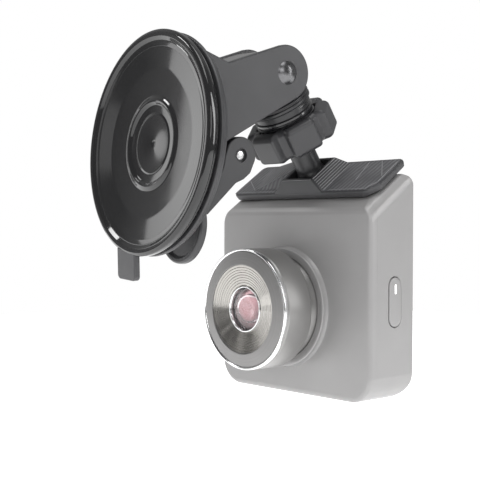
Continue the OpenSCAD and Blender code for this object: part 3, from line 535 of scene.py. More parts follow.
cup = {"steps": 220, "bendFrom": 1.0, "bendTo": 2.1, "tabWidth": 10.6, "tabLength": 9.4, "tabLean": 8,
    "tabSide": -5}
mountAxis = mountFrame @ alongY
cupEdge = roundCorners([(30.4, 1.12), (31.9, 0.8), (32.15, 0.92), (33.3, 0.1), (34.6, 0.0), (35.6, 0.6),
    (35.6, 2.3), (35.0, 2.75), (34.75, 3.1), (34.9, 3.35), (34.5, 3.7), (34.3, 4.4), (29.6, 4.4), (29.6, 1.6)],
    [0.3, 0.15, 0.15, 0.5, 0.7, 0.8, 0.7, 0.2, 0.15, 0.2, 0.2, 0.3, 0.2, 0.2], 5)
cupRim = spin("cupRim", cupEdge, mountAxis, cup["steps"])
fit(cupRim, "base", glossVinyl, "cup_rubber", "suction_cup")
dish = roundCorners([(0, 3.75), (0.8, 3.72), (1.3, 3.5), (9.2, 3.12), (9.8, 3.3), (12.3, 3.05), (13.0, 2.3),
    (13.6, 2.12), (14.3, 2.35), (15.1, 2.72), (23.5, 2.2), (30.35, 1.14), (30.35, 4.3), (13.5, 4.35),
    (12.5, 4.75), (0, 4.75)], [0, 0.4, 0.6, 0.8, 0.8, 0.7, 0.5, 0.4, 0.5, 1.4, 14, 0, 0, 0.3, 0.3, 0], 7)
cupDish = spin("cupDish", dish, mountAxis, cup["steps"])
cupDish.data.materials.append(glossVinyl)
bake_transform(cupDish)
tabHalf = cup["tabWidth"] / 2
tabPlace = mountFrame @ shift(cup["tabSide"], 1.1, -34.2) @ Matrix.Rotation(math.radians(cup["tabLean"]), 4,
    "X") @ alongY
pullTab = prism("pullTab", roundCorners([(-tabHalf, -cup["tabLength"]), (tabHalf, -cup["tabLength"]),
    (tabHalf, 0.6), (-tabHalf, 0.6)], [1.5, 1.5, 0.2, 0.2], 5), -0.9, 1.3, tabPlace, 0.4)
fit(pullTab, "base", satinVinyl, "cup_rubber")
print("suction cup made")

cheek = {"pivotBack": 44.8, "pivotUp": 28.8, "radius": 9.2, "gap": 17.2, "thickness": 3.0, "edge": 0.55}
baseRing = spin("baseRing", roundCorners([(32.6, 4.65), (35.1, 4.65), (35.4, 5.3), (35.1, 6.0), (32.6, 6.0)],
    0.35), mountAxis, 220)
fit(baseRing, "base", charcoalNylon, "mount_plastic", "base_ring")
dome = roundCorners([(3.1, 8.7), (12.6, 8.7), (12.6, 4.65), (32.4, 4.65), (32.4, 6.12), (34.6, 6.12),
    (34.3, 7.3), (31, 9.1), (24, 11.1), (14, 12.4), (7, 12.8), (7, 24.5), (3.1, 24.5)],
    [0, 0, 0, 0, 0, 0.3, 0.6, 2.5, 5, 3, 1.2, 0.8, 0.3], 5)
baseDome = spin("baseDome", dome, mountAxis, 200)
lowSlope = math.radians(34)
roundEnd = arc((cheek["pivotBack"], cheek["pivotUp"]), cheek["radius"], 108, -56, 40)
farPoint = (roundEnd[-1][0] - 48.2 * math.cos(lowSlope), roundEnd[-1][1] - 48.2 * math.sin(lowSlope))
cheekOutline = [(8.4, 31.1)] + roundCorners([(8.4, 31.1), (21.2, 28.1), roundEnd[0]], [0, 1.6, 0], 6,
    closed=False)[1:-1] \
    + roundEnd + [farPoint, (8.4, -5.7)]
inner, outer = cheek["gap"] / 2, cheek["gap"] / 2 + cheek["thickness"]
cheekRight = prism("cheekRight", cheekOutline, inner, outer, mountFrame @ alongX, cheek["edge"], 4)
cheekLeft = prism("cheekLeft", cheekOutline, -outer, -inner, mountFrame @ alongX, cheek["edge"], 4)
webOutline = roundCorners([(8.6, 30.8), (21.2, 27.8), (37.3, 35.05), (37.3, 32.7), (21.4, 25.2), (8.6, 28)],
    [0, 1.6, 0.6, 0.6, 1, 0], 4)
cheekWeb = prism("cheekWeb", webOutline, -inner - 0.3, inner + 0.3, mountFrame @ alongX, 0.2)
fit(cheekWeb, "base", polishedNylon, "mount_plastic")
baseHousing = joinPieces("baseHousing", baseDome, cheekRight, cheekLeft)
fit(baseHousing, "base", charcoalNylon, "mount_plastic", "base_housing")

pivotPlace = mountFrame @ shift(0, cheek["pivotBack"], cheek["pivotUp"]) @ alongX
headTop = arc((0, outer - 3.3), 5.1, 41, 90, 12)
boltHead = roundCorners([(0, -outer - 3.2), (2.5, -outer - 3.2), (2.5, outer + 0.02), (3.88, outer + 0.02)],
    [0, 0.4, 0, 0], 3, closed=False) + headTop
pivotBolt = spin("pivotBolt", boltHead, pivotPlace, 72)
fit(pivotBolt, "base", blackOxide, "black_metal", "pivot_bolt")
hexagon = [(4.6 * math.cos(math.radians(60 * k)), 4.6 * math.sin(math.radians(60 * k))) for k in range(6)]
pivotNut = prism("pivotNut", roundCorners(hexagon, 0.25, 3), -outer - 3.0, -outer - 0.02, pivotPlace, 0.35)
fit(pivotNut, "base", blackOxide, "black_metal", "pivot_nut")
print("base made")

lever = {"pinBack": 32.0, "hubRadius": 6.0, "half": 8.2, "slot": 3.4, "paddleRadius": 12.0, "paddleFront": 16.4,
    "paddleBack": 19.4, "paddleDrop": -25.0, "edge": 0.5, "recess": 2.3, "bore": 1.56}
stem = spin("stem", roundCorners([(0, 5.1), (9.5, 5.1), (9.5, 6.6), (3.0, 6.6), (3.0, 35.2), (0, 35.2)],
    [0, 0.3, 0.3, 0.4, 0.5, 0]), mountAxis, 96)
fit(stem, "stem", bareSteel, "steel", "cup_stem")
pinPlace = mountFrame @ shift(0, lever["pinBack"], 0) @ alongX
leverPin = spin("leverPin", roundCorners([(0, -7.7), (1.5, -7.7), (1.5, 7.7), (0, 7.7)], [0, 0.25, 0.25, 0], 4),
    pinPlace, 48)
fit(leverPin, "stem", bareSteel, "steel", "lever_pin")
p = lever["pinBack"]
hub = arc((p, 0), lever["hubRadius"], 150, -24, 40)
armOutline = hub + roundCorners([hub[-1], (p + 4.6, -5.3), (p + 2.2, -7.6), (p - 0.8, -9.2), (p - 10.7, -20.4),
    (p - 15.6, -19.9), (p - 14.5, -14), (p - 10, -9.5), (p - 6.6, -5.4), (p - 6.2, -1.0), hub[0]],
    [0, 2, 2, 2, 1, 1, 3, 4, 2, 3, 0], 5, closed=False)[1:-1]
arms = []
for low, high in ((-lever["half"], -lever["slot"]), (lever["slot"], lever["half"])):
    side = prism("leverArm", armOutline, low, high, mountFrame @ alongX, lever["edge"], 4)
    outside = high if high > 0 else low
    recess = prism("recess", discOutline(lever["recess"], (p, 0), 32), *sorted((outside * 0.88, outside * 1.1)),
        mountFrame @ alongX, 0)
    bore = prism("bore", discOutline(lever["bore"], (p, 0), 32), low - 1, high + 1, mountFrame @ alongX, 0)
    arms.append(cut(side, recess, bore))
bridge = prism("leverBridge", roundCorners([(p + 1.9, -7.9), (p - 0.8, -9.2), (p - 10.7, -20.4),
    (p - 15.6, -19.9), (p - 14.5, -14), (p - 10, -9.5), (p - 8.4, -7.9)], [0.8, 2, 1, 1, 3, 4, 0.8], 4),
    -lever["slot"] - 0.4, lever["slot"] + 0.4, mountFrame @ alongX, 0.3)
r, front, back = lever["paddleRadius"], lever["paddleFront"], lever["paddleBack"]
paddleEdge = roundCorners([(0, front + 1.0), (r - 2.4, front + 1.0), (r - 1.6, front + 0.1), (r - 0.5, front),
    (r, front + 0.6), (r, back - 0.7), (r - 0.8, back), (0, back)], [0, 0.6, 0.4, 0.5, 0.5, 0.7, 0.6, 0], 5)
paddle = spin("leverPaddle", paddleEdge, mountFrame @ shift(0, 0, lever["paddleDrop"]) @ alongY, 128)
lockLever = joinPieces("lockLever", *arms, bridge, paddle)
fit(lockLever, "lever", charcoalNylon, "mount_plastic", "lock_lever")
print("lever made")

arm = {"length": 16.8, "eyeRadius": 7.4, "eyeHalf": 7.75, "threadRadius": 10.5, "coreRadius": 9.9, "pitch": 1.9,
    "threadTop": 4.3, "threadTurns": 3.2}
ballRoom = 8.15
innerWall = [(math.sqrt(ballRoom ** 2 - z * z), z) for z in (4.2, 3.2, 2.0, 0.5, -1.0, -2.4, -3.4, -4.1)]
socketProfile = innerWall + roundCorners([innerWall[-1], (8.5, -4.2), (9.9, -2.3), (9.9, 4.5), (10.7, 4.7),
    (11, 5.1), (11, 5.9), (10.6, 6.15), (10.6, 6.45), (11, 6.7), (11, 7.1), (10.5, 7.5), (8.2, 8.4),
    (7.3, 10.8), (0.5, 10.8), (0.5, 10.2), (5.0, 10.2), (5.0, 8.7), (8.2, 5.2), innerWall[0]],
    [0, 0.4, 0.4, 0.3, 0.2, 0.3, 0.2, 0.1, 0.1, 0.2, 0.3, 0.4, 1, 0.6, 0, 0, 0.2, 0.2, 0.3, 0], 3,
    closed=False)[1:-1]
socketTube = spin("socketTube", socketProfile, armFrame, 144)
eye = prism("armEye", discOutline(arm["eyeRadius"], (0, arm["length"]), 72), -arm["eyeHalf"], arm["eyeHalf"],
    armFrame @ alongX, 0.5)
block = prism("armBlock", boxOutline(-6, 10.9, 6, arm["length"], 0.6), -arm["eyeHalf"], arm["eyeHalf"],
    armFrame @ alongX, 0.4)
socketArm = joinPieces("socketArm", socketTube, eye, block)
fit(socketArm, "arm", darkNylon, "mount_plastic", "socket_arm")

# one helical ridge, tapered away at both ends
ridge = [(-0.75, 0.0), (-0.32, 1.0), (0.32, 1.0), (0.75, 0.0), (0.7, -0.6), (-0.7, -0.6)]
steps = int(72 * arm["threadTurns"])
rings = []
for k in range(steps + 1):
    angle = 2 * math.pi * k / 72
    lift = arm["threadTop"] - 0.8 - arm["pitch"] * k / 72
    swell = min(1.0, k / 18, (steps - k) / 18)
    depth = arm["threadRadius"] - arm["coreRadius"]
    ring = []
    for along, out in ridge:
        radius = arm["coreRadius"] + (out * depth * swell if out > 0 else out)
        ring.append((radius * math.cos(angle), radius * math.sin(angle), lift + along * (0.4 + 0.6 * swell)))
    rings.append(ring)
socketThread = loft("socketThread", rings, armFrame, sharp=50)
fit(socketThread, "arm", polishedNylon, "mount_plastic")
print("socket arm made")

nut = {"flat": 14.8, "lobeHalf": 4.95, "valleyHalf": 5.4, "valley": 11.9, "length": 10.6, "top": 0.2,
    "turn": -24.0, "corner": 0.9}
lobe = []
for k in range(6):
    turn = math.radians(nut["turn"] + 60 * k)
    for x, y in ((nut["valley"], -nut["valleyHalf"]), (nut["flat"], -nut["lobeHalf"]),
            (nut["flat"], nut["lobeHalf"]), (nut["valley"], nut["valleyHalf"])):
        lobe.append((x * math.cos(turn) - y * math.sin(turn), x * math.sin(turn) + y * math.cos(turn)))
nutOutline = roundCorners(lobe, [1.0, nut["corner"], nut["corner"], 1.0] * 6, 6)
bottom = nut["top"] - nut["length"]


def nutRing(inset, z):
    return [(x * (1 - inset / math.hypot(x, y)), y * (1 - inset / math.hypot(x, y)), z) for x, y in nutOutline]


def boreRing(radius, z):
    return [(radius * x / math.hypot(x, y), radius * y / math.hypot(x, y), z) for x, y in nutOutline]


nutRings = [boreRing(8.9, bottom), nutRing(2.2, bottom), nutRing(1.45, bottom + 0.1),
    nutRing(0.7, bottom + 0.5), nutRing(0.2, bottom + 1.0), nutRing(0, bottom + 1.6),
    nutRing(0, nut["top"] - 1.9), nutRing(0.12, nut["top"] - 1.4), nutRing(0.5, nut["top"] - 0.8),
    nutRing(1.1, nut["top"] - 0.3), nutRing(1.9, nut["top"] - 0.05), nutRing(2.6, nut["top"]),
    boreRing(11.7, nut["top"]), boreRing(11.3, nut["top"] - 0.1), boreRing(10.85, nut["top"] - 0.5),
    boreRing(10.8, -2.1), boreRing(8.9, -4.7), boreRing(7.7, -4.8), boreRing(7.7, bottom + 4),
    boreRing(8.7, bottom + 0.2)]
clampNut = weighNormals(loft("clampNut", nutRings, armFrame, closed=True, sharp=50))
fit(clampNut, "nut", charcoalNylon, "mount_plastic", "clamp_nut")
print("clamp nut made")

ball = {"radius": 8.0, "neck": 4.6, "foot": 5.5}
neckDown = -ballHeight + 0.42
studProfile = [(1.6, 1.6), (3.0, 1.6), (3.3, 7.2)] + arc((0, 0), ball["radius"], 64, -53.5, 40) \
    + roundCorners([(4.75, -6.44), (ball["neck"], -7.4), (ball["neck"], neckDown + 3.4),
    (ball["foot"], neckDown + 1.2), (ball["foot"], neckDown),
    (1.6, neckDown)], [0, 0.5, 3, 1, 0.2, 0], 4, closed=False)
ballStud = spin("ballStud", studProfile, plateFrame @ shift(0, 0, ballHeight), 128)
fit(ballStud, "camera", darkNylon, "mount_plastic", "ball_stud")

plate = {"width": 69.0, "depth": 20.0, "thick": 2.4, "ribs": 6, "ribWidth": 0.2}
halfW, halfD = plate["width"] / 2, plate["depth"] / 2
slabOutline = roundCorners([(-halfW, -halfD), (halfW - 3.5, -halfD), (halfW, -halfD + 4.5), (halfW, halfD),
    (-halfW, halfD)], [3.0, 3.0, 3.0, 2.5, 2.5], 7)


def slabRing(inset, endInset, z):
    ring = offsetOutline(slabOutline, inset)
    return [(x * (1 - endInset / halfW), y, z) for x, y in ring]


slab = weighNormals(loft("plateSlab", [slabRing(0.25, 0.4, -plate["thick"]), slabRing(0.05, 0.35,
    -plate["thick"] + 0.2), slabRing(0, 0, -0.9), slabRing(0.08, 0, -0.4), slabRing(0.3, 0, -0.1),
    slabRing(0.55, 0, 0.0)], plateFrame, sharp=25))


def rectRing(x0, y0, x1, y1, radius, z):
    return [(x, y, z) for x, y in roundCorners([(x0, y0), (x1, y0), (x1, y1), (x0, y1)], radius, 4)]


collar = weighNormals(loft("plateCollar", [rectRing(-11.8, -9.9, 11.8, 8.6, 0.6, -0.2),
    rectRing(-7.9, -8.2, 7.9, 6.8, 0.6, 3.6), rectRing(-7.5, -7.9, 7.5, 6.5, 0.5, 4.0),
    rectRing(-6.4, -6.8, 6.4, 6.0, 0.5, 4.0), rectRing(-6, -6.4, 6, 5.7, 0.4, 3.7),
    rectRing(-6, -6.4, 6, 5.7, 0.4, 0.4)], plateFrame, sharp=30))
adapterPlate = joinPieces("adapterPlate", slab, collar)
fit(adapterPlate, "camera", charcoalNylon, "mount_plastic", "adapter_plate")

# thin skins on the wings that carry the hatching
wings = []
for side in (-1, 1):
    outline = [(side * 11.6, -halfD + 0.75), (side * (halfW - 3.9), -halfD + 0.75),
        (side * (halfW - 0.75), -halfD + 4.7), (side * (halfW - 0.75), halfD - 0.9), (side * 11.6, halfD - 0.9)]
    if side < 0:
        outline[1], outline[2] = (-(halfW - 1.2), -halfD + 0.75), (-(halfW - 0.75), -halfD + 1.2)
    wings.append(prism("plateWing", roundCorners(outline, [0.2, 1.5, 1.5, 1.5, 0.2], 4), -0.05, 0.09,
        plateFrame, 0.04, 2))


def hullOf(name, points, where, sharp=15):
    mesh = bmesh.new()
    for q in points:
        mesh.verts.new(where @ Vector(q))
    bmesh.ops.convex_hull(mesh, input=mesh.verts)
    obj = fromBmesh(name, mesh)
    tidyMesh(obj, sharp)
    return obj


def bevelHull(obj, width):
    modifier = obj.modifiers.new("edge", "BEVEL")
    modifier.width, modifier.segments = width / 1000, 2
    modifier.limit_method, modifier.angle_limit = "ANGLE", math.radians(8)
    applyModifiers(obj)
    tidyMesh(obj, 35)
    return weighNormals(obj)


leftEar = bevelHull(hullOf("leftEar", [(-29.0, 7.6, 0.05), (-23.8, -7.4, 0.05), (-12.6, 6.3, 3.7),
    (-7.7, -1.0, 3.9), (-7.7, 5.6, 3.9), (-11.2, -6.8, 0.05), (-12.0, 8.4, 0.05)], plateFrame), 0.25)
plateWings = joinPieces("plateWings", *wings, leftEar)
fit(plateWings, "camera", hatchedNylon, "mount_plastic")


def rail(name, start, end, width, height, where):
    # a slim raised bar between two points, rounded on top
    a, b = Vector(start), Vector(end)
    ahead = (b - a).normalized()
    normal = Vector((0, 0, 1)) if abs(ahead.z) < 0.5 else Vector((1, 0, 0))
    across = ahead.cross(normal).normalized()
    normal = across.cross(ahead).normalized()
    shape = [(-0.5, -0.3), (0.5, -0.3), (0.5, 0.4), (0.3, 0.85), (0, 1.0), (-0.3, 0.85), (-0.5, 0.4)]
    rings = []
    for place, size in ((a, 0.3), (a + ahead * width, 1), (b - ahead * width, 1), (b, 0.3)):
        rings.append([tuple(place + across * (u * width * size) + normal * (v * height * size)) for u,
            v in shape])
    return loft(name, rings, where, sharp=60)


rails = [rail("facet", (20.1, 8.6, 0.1), (22.0, -3.0, 0.1), 0.32, 0.16, plateFrame),
    rail("facet", (25.5, 8.6, 0.1), (32.4, -1.6, 0.1), 0.32, 0.16, plateFrame), rail("facet",
    (halfW - 1.6, 7.6, 0.05), (halfW - 1.6, -4.8, 0.05), 0.3, 0.22, plateFrame), rail("facet",
    (halfW - 1.6, -4.8, 0.05), (halfW - 4.4, -8.6, 0.05), 0.3, 0.22, plateFrame),
    rail("facet", (halfW - 4.4, -8.6, 0.05), (14.0, -8.6, 0.05), 0.24, 0.14, plateFrame),
    rail("facet", (-33.0, -0.3, 0.1), (-24.2, -7.3, 0.1), 0.32, 0.16, plateFrame),
    rail("facet", (-33.2, 7.6, 0.05), (-33.2, -7.8, 0.05), 0.24, 0.14, plateFrame),
    rail("facet", (-32.6, -8.6, 0.05), (-12.6, -8.6, 0.05), 0.24, 0.14, plateFrame),
    rail("facet", (-23.8, -7.35, 0.1), (-8.0, -1.0, 3.92), 0.3, 0.12, plateFrame),
    rail("facet", (-7.55, -7.6, 4.0), (-7.55, 6.2, 4.0), 0.28, 0.1, plateFrame), rail("facet",
    (-7.2, -7.95, 3.95), (7.2, -7.95, 3.95), 0.24, 0.1, plateFrame)]
# the facet lines are coloured light grey as a painted highlight along their ridges
plateLines = joinPieces("plateLines", *rails)
fit(plateLines, "camera", highlightPaintedNylon, "mount_plastic")
ribs = []
for side in (-1, 1):
    for k in range(plate["ribs"] + 1):
        t = k / plate["ribs"]
        x, z = 7.7 + 3.9 * t, 3.95 - 3.8 * t
        if side < 0 and t < 0.9:
            continue
        ribs.append(rail("rib", (side * x, -7.6 - 1.4 * t, z), (side * x, 6.3 + 1.7 * t, z), plate["ribWidth"],
            0.2, plateFrame))
earRibs = joinPieces("earRibs", *ribs)
# the ribs are coloured the same light grey, a painted highlight along each rib
fit(earRibs, "camera", highlightPaintedNylon, "mount_plastic")
print("plate made")

case = {"width": 72.8, "depth": 22.3, "front": 63.6, "wall": 1.8, "lowCorner": 9.5, "topCorner": 5.0,
    "edge": 1.5, "coreEdge": 0.3, "seam": 3.2, "seamGap": 0.03}
slope = math.radians(34.7)
up = Vector((0, -math.sin(slope), math.cos(slope)))


def casePlanes(inset):
    # tangent planes of the case drawn inwards by inset, as (normal, point) pairs in the camera's frame
    planes, rise = [], math.tan(slope)
    d, w = case["depth"] - inset, case["width"] / 2 - inset
    top = case["front"] - inset / math.cos(slope)
    for low, high, radius, kind in ((180, 270, 1.6, "foot"), (270, 360, 7.0, "heel"), (0, 124.7, 4.0, "crown"),
            (124.7, 180, 4.5, "brow")):
        rr = max(radius - inset, 0.3)
        centre = {"foot": (inset + rr, inset + rr), "heel": (d - rr, inset + rr),
            "crown": (d - rr, top + (d - rr) * rise - rr / math.cos(slope)), "brow": (inset + rr,
            top + (inset + rr) * rise - rr / math.cos(slope))}[kind]
        steps = max(4, int((high - low) / 9))
        for k in range(steps + 1):
            a = math.radians(low + (high - low) * k / steps)
            planes.append((Vector((0, math.cos(a), math.sin(a))), Vector((0, centre[0] + rr * math.cos(a),
                centre[1] + rr * math.sin(a)))))
    for side in (-1, 1):
        rr = case["lowCorner"] - inset
        for k in range(13):
            a = math.radians(-90 + 90 * k / 12)
            n = Vector((side * math.cos(a), 0, math.sin(a)))
            planes.append((n, Vector((side * (w - rr), 0, inset + rr)) + n * rr))
        rr = case["topCorner"] - inset
        for k in range(9):
            a = math.radians(90 * k / 8)
            n = Vector((side * math.cos(a), 0, 0)) + up * math.sin(a)
            planes.append((n, Vector((side * (w - rr), 0, case["front"])) - up * (inset + rr) + n * rr))
    return planes


def clippedBlock(inset):
    mesh = bmesh.new()
    bmesh.ops.create_cube(mesh, size=240)
    for normal, point in casePlanes(inset):
        found = bmesh.ops.bisect_plane(mesh, geom=mesh.verts[:] + mesh.edges[:] + mesh.faces[:], plane_co=point,
            plane_no=normal, clear_outer=True, dist=1e-5)
        rim = [e for e in mesh.edges if e.is_boundary]
        if rim:
            bmesh.ops.edgenet_fill(mesh, edges=rim)
    return mesh


def caseSolid(name, inset, edge):
    # a clipped block grown by a ball of radius edge, so that every edge is rounded
    mesh = clippedBlock(inset + edge)
    corners = [v.co.copy() for v in mesh.verts]
    mesh.free()
    spread = []
    for i in range(0, 7):
        tilt = math.pi * i / 6
        around = 1 if i in (0, 6) else 16
        for k in range(around):
            spread.append(Vector((math.cos(tilt), math.sin(tilt) * math.cos(2 * math.pi * k / around),
                math.sin(tilt) * math.sin(2 * math.pi * k / around))))
    mesh = bmesh.new()
    for corner in corners:
        for s in spread:
            mesh.verts.new(corner + s * edge)
    bmesh.ops.convex_hull(mesh, input=mesh.verts)
    loose = [v for v in mesh.verts if not v.link_faces]
    bmesh.ops.delete(mesh, geom=loose, context="VERTS")
    bmesh.ops.dissolve_limit(mesh, angle_limit=math.radians(0.6), verts=mesh.verts, edges=mesh.edges)
    for v in mesh.verts:
        v.co = cameraFrame @ v.co
    obj = fromBmesh(name, mesh)
    tidyMesh(obj)
    return obj


def chamferCut(name, outline, surface, inwards, where, chamfer, depth):
    # a cutter that opens out by chamfer where it meets the surface; inwards is +1 or -1 along the depth axis
    rings = []
    for inset, z in ((-chamfer - 0.5, -0.5), (-chamfer, 0.0), (0.0, chamfer), (0.0, depth)):
        rings.append([(x, y, surface + inwards * z) for x, y in offsetOutline(outline, inset)])
    return loft(name, rings, where)


def boxCut(low, high):
    return prism("boxCut", [(low[0], low[1]), (high[0], low[1]), (high[0], high[1]), (low[0], high[1])], low[2],
        high[2], cameraFrame, 0)


def twin(obj):
    return newObject(obj.name, obj.data.copy())


# each half is parted at the seam first and hollowed after, so that no void is ever closed
shell = caseSolid("shell", 0, case["edge"])
core = caseSolid("core", case["wall"], case["coreEdge"])
rearShell, rearCore = twin(shell), twin(core)
frontCover = cut(shell, boxCut((-60, case["seam"], -20), (60, 60, 120)), core, prism("lensHole",
    discOutline(19.25, (lensX, lensZ), 96), -5, 3.9, cameraFrame @ alongY, 0))
frontCover.name = "frontCover"
weighNormals(frontCover)
fit(frontCover, "camera", sprayedAbs, "body_plastic", "front_cover")

halfCase, backFace = case["width"] / 2, case["depth"]
power = {"width": 5.9, "length": 16.3, "gap": 0.25, "back": backFace / 2 + 1, "up": 33.0}
powerPlace = cameraFrame @ shift(0, power["back"], power["up"]) @ alongX
backPlace = cameraFrame @ alongY
cutters = [boxCut((-60, -20, -20), (60, case["seam"] + case["seamGap"], 120)), rearCore,
    chamferCut("powerSlot",
    capsuleOutline(power["width"] + 2 * power["gap"], power["length"] + 2 * power["gap"]), halfCase, -1,
    powerPlace, 0.18, 3.0), chamferCut("screenWindow", boxOutline(-22.5, 29, 22.5, 63, 0.8, 5), backFace, -1,
    backPlace, 0.3, 3.0)]
for k in (-1.5, -0.5, 0.5, 1.5):
    cutters.append(chamferCut("keyHole", discOutline(3.7, (k * 13, 14.5), 40), backFace, -1, backPlace, 0.25,
        3.0))
for k in range(-2, 3):
    cutters.append(chamferCut("soundHole", discOutline(0.7, (28, 42 + 2.4 * k), 16), backFace, -1, backPlace,
        0.15, 3.0))
cutters.append(chamferCut("talkHole", discOutline(0.5, (-27, 66), 16), backFace, -1, backPlace, 0.1, 3.0))
for x, z in ((-30.5, 9.5), (30.5, 9.5), (-30.5, 58), (30.5, 58)):
    cutters.append(chamferCut("screwWell", discOutline(2.1, (x, z), 32), backFace, -1, backPlace, 0.15, 3.0))
sidePlace = cameraFrame @ alongX
cutters.append(chamferCut("usbHole", boxOutline(9.4, 43.5, 12.8, 52.7, 1.2, 5), -halfCase, 1, sidePlace, 0.15,
    3.0))
cutters.append(chamferCut("jackHole", discOutline(1.9, (11.1, 38), 32), -halfCase, 1, sidePlace, 0.15, 3.0))
cutters.append(chamferCut("cardSlot", boxOutline(10.6, 18.0, 12.2, 29.8, 0.3, 3), -halfCase, 1, sidePlace, 0.15,
    3.0))
rearCover = cut(rearShell, *cutters)
rearCover.name = "rearCover"
weighNormals(rearCover)
fit(rearCover, "camera", sprayedAbs, "body_plastic", "rear_cover")
print("case made")

powerOutline = capsuleOutline(power["width"], power["length"])
powerCap = [[(x, y, halfCase - 1.7) for x, y in powerOutline]]
for inset, z in ((0.0, 0.28), (0.06, 0.4), (0.2, 0.5), (0.45, 0.57), (1.0, 0.6)):
    powerCap.append([(x, y, halfCase + z - 0.3) for x, y in offsetOutline(powerOutline, inset)])
powerButton = cut(loft("powerButton", powerCap, powerPlace), prism("ledSlit", boxOutline(-0.45, 2.6, 0.45, 5.9,
    0.4, 4), halfCase - 1.5, halfCase + 2, powerPlace, 0))
weighNormals(powerButton)
fit(powerButton, "power_button", sprayedAbs, "body_plastic", "power_button")
buttonLight = prism("buttonLight", boxOutline(-0.4, 2.65, 0.4, 5.85, 0.38, 5), halfCase - 1.6, halfCase + 0.36,
    powerPlace, 0.12)
fit(buttonLight, "power_button", lightPipe, "light_guide", "button_light")

for name, k in (("key_menu", -1.5), ("key_up", -0.5), ("key_down", 0.5), ("key_record", 1.5)):
    keyProfile = roundCorners([(0, 19.4), (4.3, 19.4), (4.3, 20.0), (3.4, 20.0), (3.4, 22.5), (2.9, 22.75),
        (1.2, 22.62), (0, 22.58)], [0, 0.1, 0.1, 0, 0.3, 0.3, 1, 0], 4)
    key = spin(name.replace("_", "") + "Cap", keyProfile, cameraFrame @ shift(k * 13, 0, 14.5) @ alongY, 64)
    fit(key, name, sprayedAbs, "body_plastic", name)
screenGlass = prism("screenPanel", boxOutline(-22.4, 29.1, 22.4, 62.9, 0.7, 5), 20.25, 22.1, backPlace, 0.25)
fit(screenGlass, "camera", coverGlass, "screen_glass", "screen_glass")

lens = {"radius": 20.45, "reach": 20.2, "ball": 18.3, "seat": 18.65, "grooves": 8}
lensAxis = cameraFrame @ shift(lensX, 0, lensZ) @ alongY
seatArc = [(math.sqrt(lens["seat"] ** 2 - (y - 3) ** 2), y) for y in (2.3, 1.2, 0.0, -1.0, -1.95)]
lensSocket = spin("lensSocket", seatArc + roundCorners([(18.3, -2.0), (20.5, -2.0), (20.7, -0.9), (21.2, 0.0),
    (19.2, 0.3), (19.2, 2.4), (18.64, 2.4)], [0, 0.5, 1.0, 0, 0, 0.1, 0], 4, closed=False), lensAxis, 192)
fit(lensSocket, "camera", sprayedAbs, "lens_metal", "lens_socket")
tip = -lens["reach"]
barrelProfile = [(7.9, 8)] + arc((0, 3), lens["ball"], 15.86, -32.75, 24) \
    + roundCorners([(15.39, -6.9), (20.05, -6.9), (lens["radius"], -7.6), (lens["radius"], tip + 2.9),
    (20.0, tip + 2.2), (18.25, tip + 2.2),
    (18.25, tip + 4.2), (7.9, tip + 4.2)], [0, 0.5, 0.8, 0.4, 0.1, 0, 0, 0], 5, closed=False)[1:]
lensBarrel = spin("lensBarrel", barrelProfile, lensAxis, 200)
fit(lensBarrel, "lens", blastedAluminium, "lens_metal", "lens_barrel")
chromeRing = spin("chromeRing", roundCorners([(19.55, tip + 1.0), (20.0, tip + 0.55),
    (lens["radius"], tip + 0.9), (lens["radius"], tip + 2.2), (19.55, tip + 2.2)], [0.2, 0.3, 0.35, 0.15, 0],
    5), lensAxis, 200)
fit(chromeRing, "lens", chromePlate, "chrome", "chrome_ring")
faceRing = spin("faceRing", roundCorners([(15.0, tip + 0.1), (15.2, tip), (19.2, tip + 0.75),
    (19.45, tip + 1.0), (19.45, tip + 2.2), (18.15, tip + 2.2), (18.15, tip + 2.8), (15.0, tip + 2.8)],
    [0.05, 0.2, 0.2, 0.2, 0, 0, 0, 0], 4), lensAxis, 200)
fit(faceRing, "lens", faceAluminium, "lens_metal", "face_ring")
coneFront = []
outR, outY, inR, inY = 14.9, tip + 0.3, 8.0, tip + 1.6
for k in range(lens["grooves"]):
    a, b, c = k / lens["grooves"], (k + 0.82) / lens["grooves"], (k + 0.91) / lens["grooves"]
    for t, dip in ((a + 0.004, 0.0), (b, 0.0), (c, 0.14)):
        coneFront.append((outR + (inR - outR) * t, outY + (inY - outY) * t + dip))
coneProfile = coneFront + [(7.9, inY), (7.9, tip + 4.1), (14.9, tip + 3.6)]
lensCone = spin("lensCone", coneProfile, lensAxis, 220, sharp=35)
fit(lensCone, "lens", spunAluminium, "lens_metal", "lens_cone")
glassBezel = spin("glassBezel", roundCorners([(7.05, tip + 1.9), (7.3, tip + 1.35), (7.7, tip + 1.35),
    (7.86, tip + 1.8), (7.86, tip + 3.4), (7.05, tip + 3.4)], 0.15, 4), lensAxis, 160)
fit(glassBezel, "lens", chromePlate, "lens_metal")
tube = [(7.8, tip + 3.5), (7.8, 7.6), (5.8, 7.6), (5.8, tip + 5.6)]
for k in range(4):
    tube += [(5.8 + 0.3 * k, tip + 5.4 - 0.55 * k), (6.1 + 0.3 * k, tip + 5.4 - 0.55 * k)]
lensTube = spin("lensTube", tube + [(7.0, tip + 3.5)], lensAxis, 128)
fit(lensTube, "lens", mattBlack, "inner_black", "lens_tube")
glassFace = [(13.0 * math.sin(a),
    tip + 13.6 - 13.0 * math.cos(a)) for a in [math.radians(32.3 * k / 12) for k in range(13)]]
frontGlass = spin("frontGlass", [(0, tip + 3.0)] + glassFace + [(6.98, tip + 3.1), (6.4, tip + 3.1),
    (4.0, tip + 3.05)], lensAxis, 128)
fit(frontGlass, "lens", coatedGlass, "lens_glass", "front_lens")
innerFace = [(12.0 * math.sin(a),
    tip + 15.25 - 12.0 * math.cos(a)) for a in [math.radians(34 * k / 12) for k in range(13)]]
innerElement = spin("innerElement", [(0, tip + 5.35)] + innerFace + [(6.72, tip + 5.35)], lensAxis, 96)
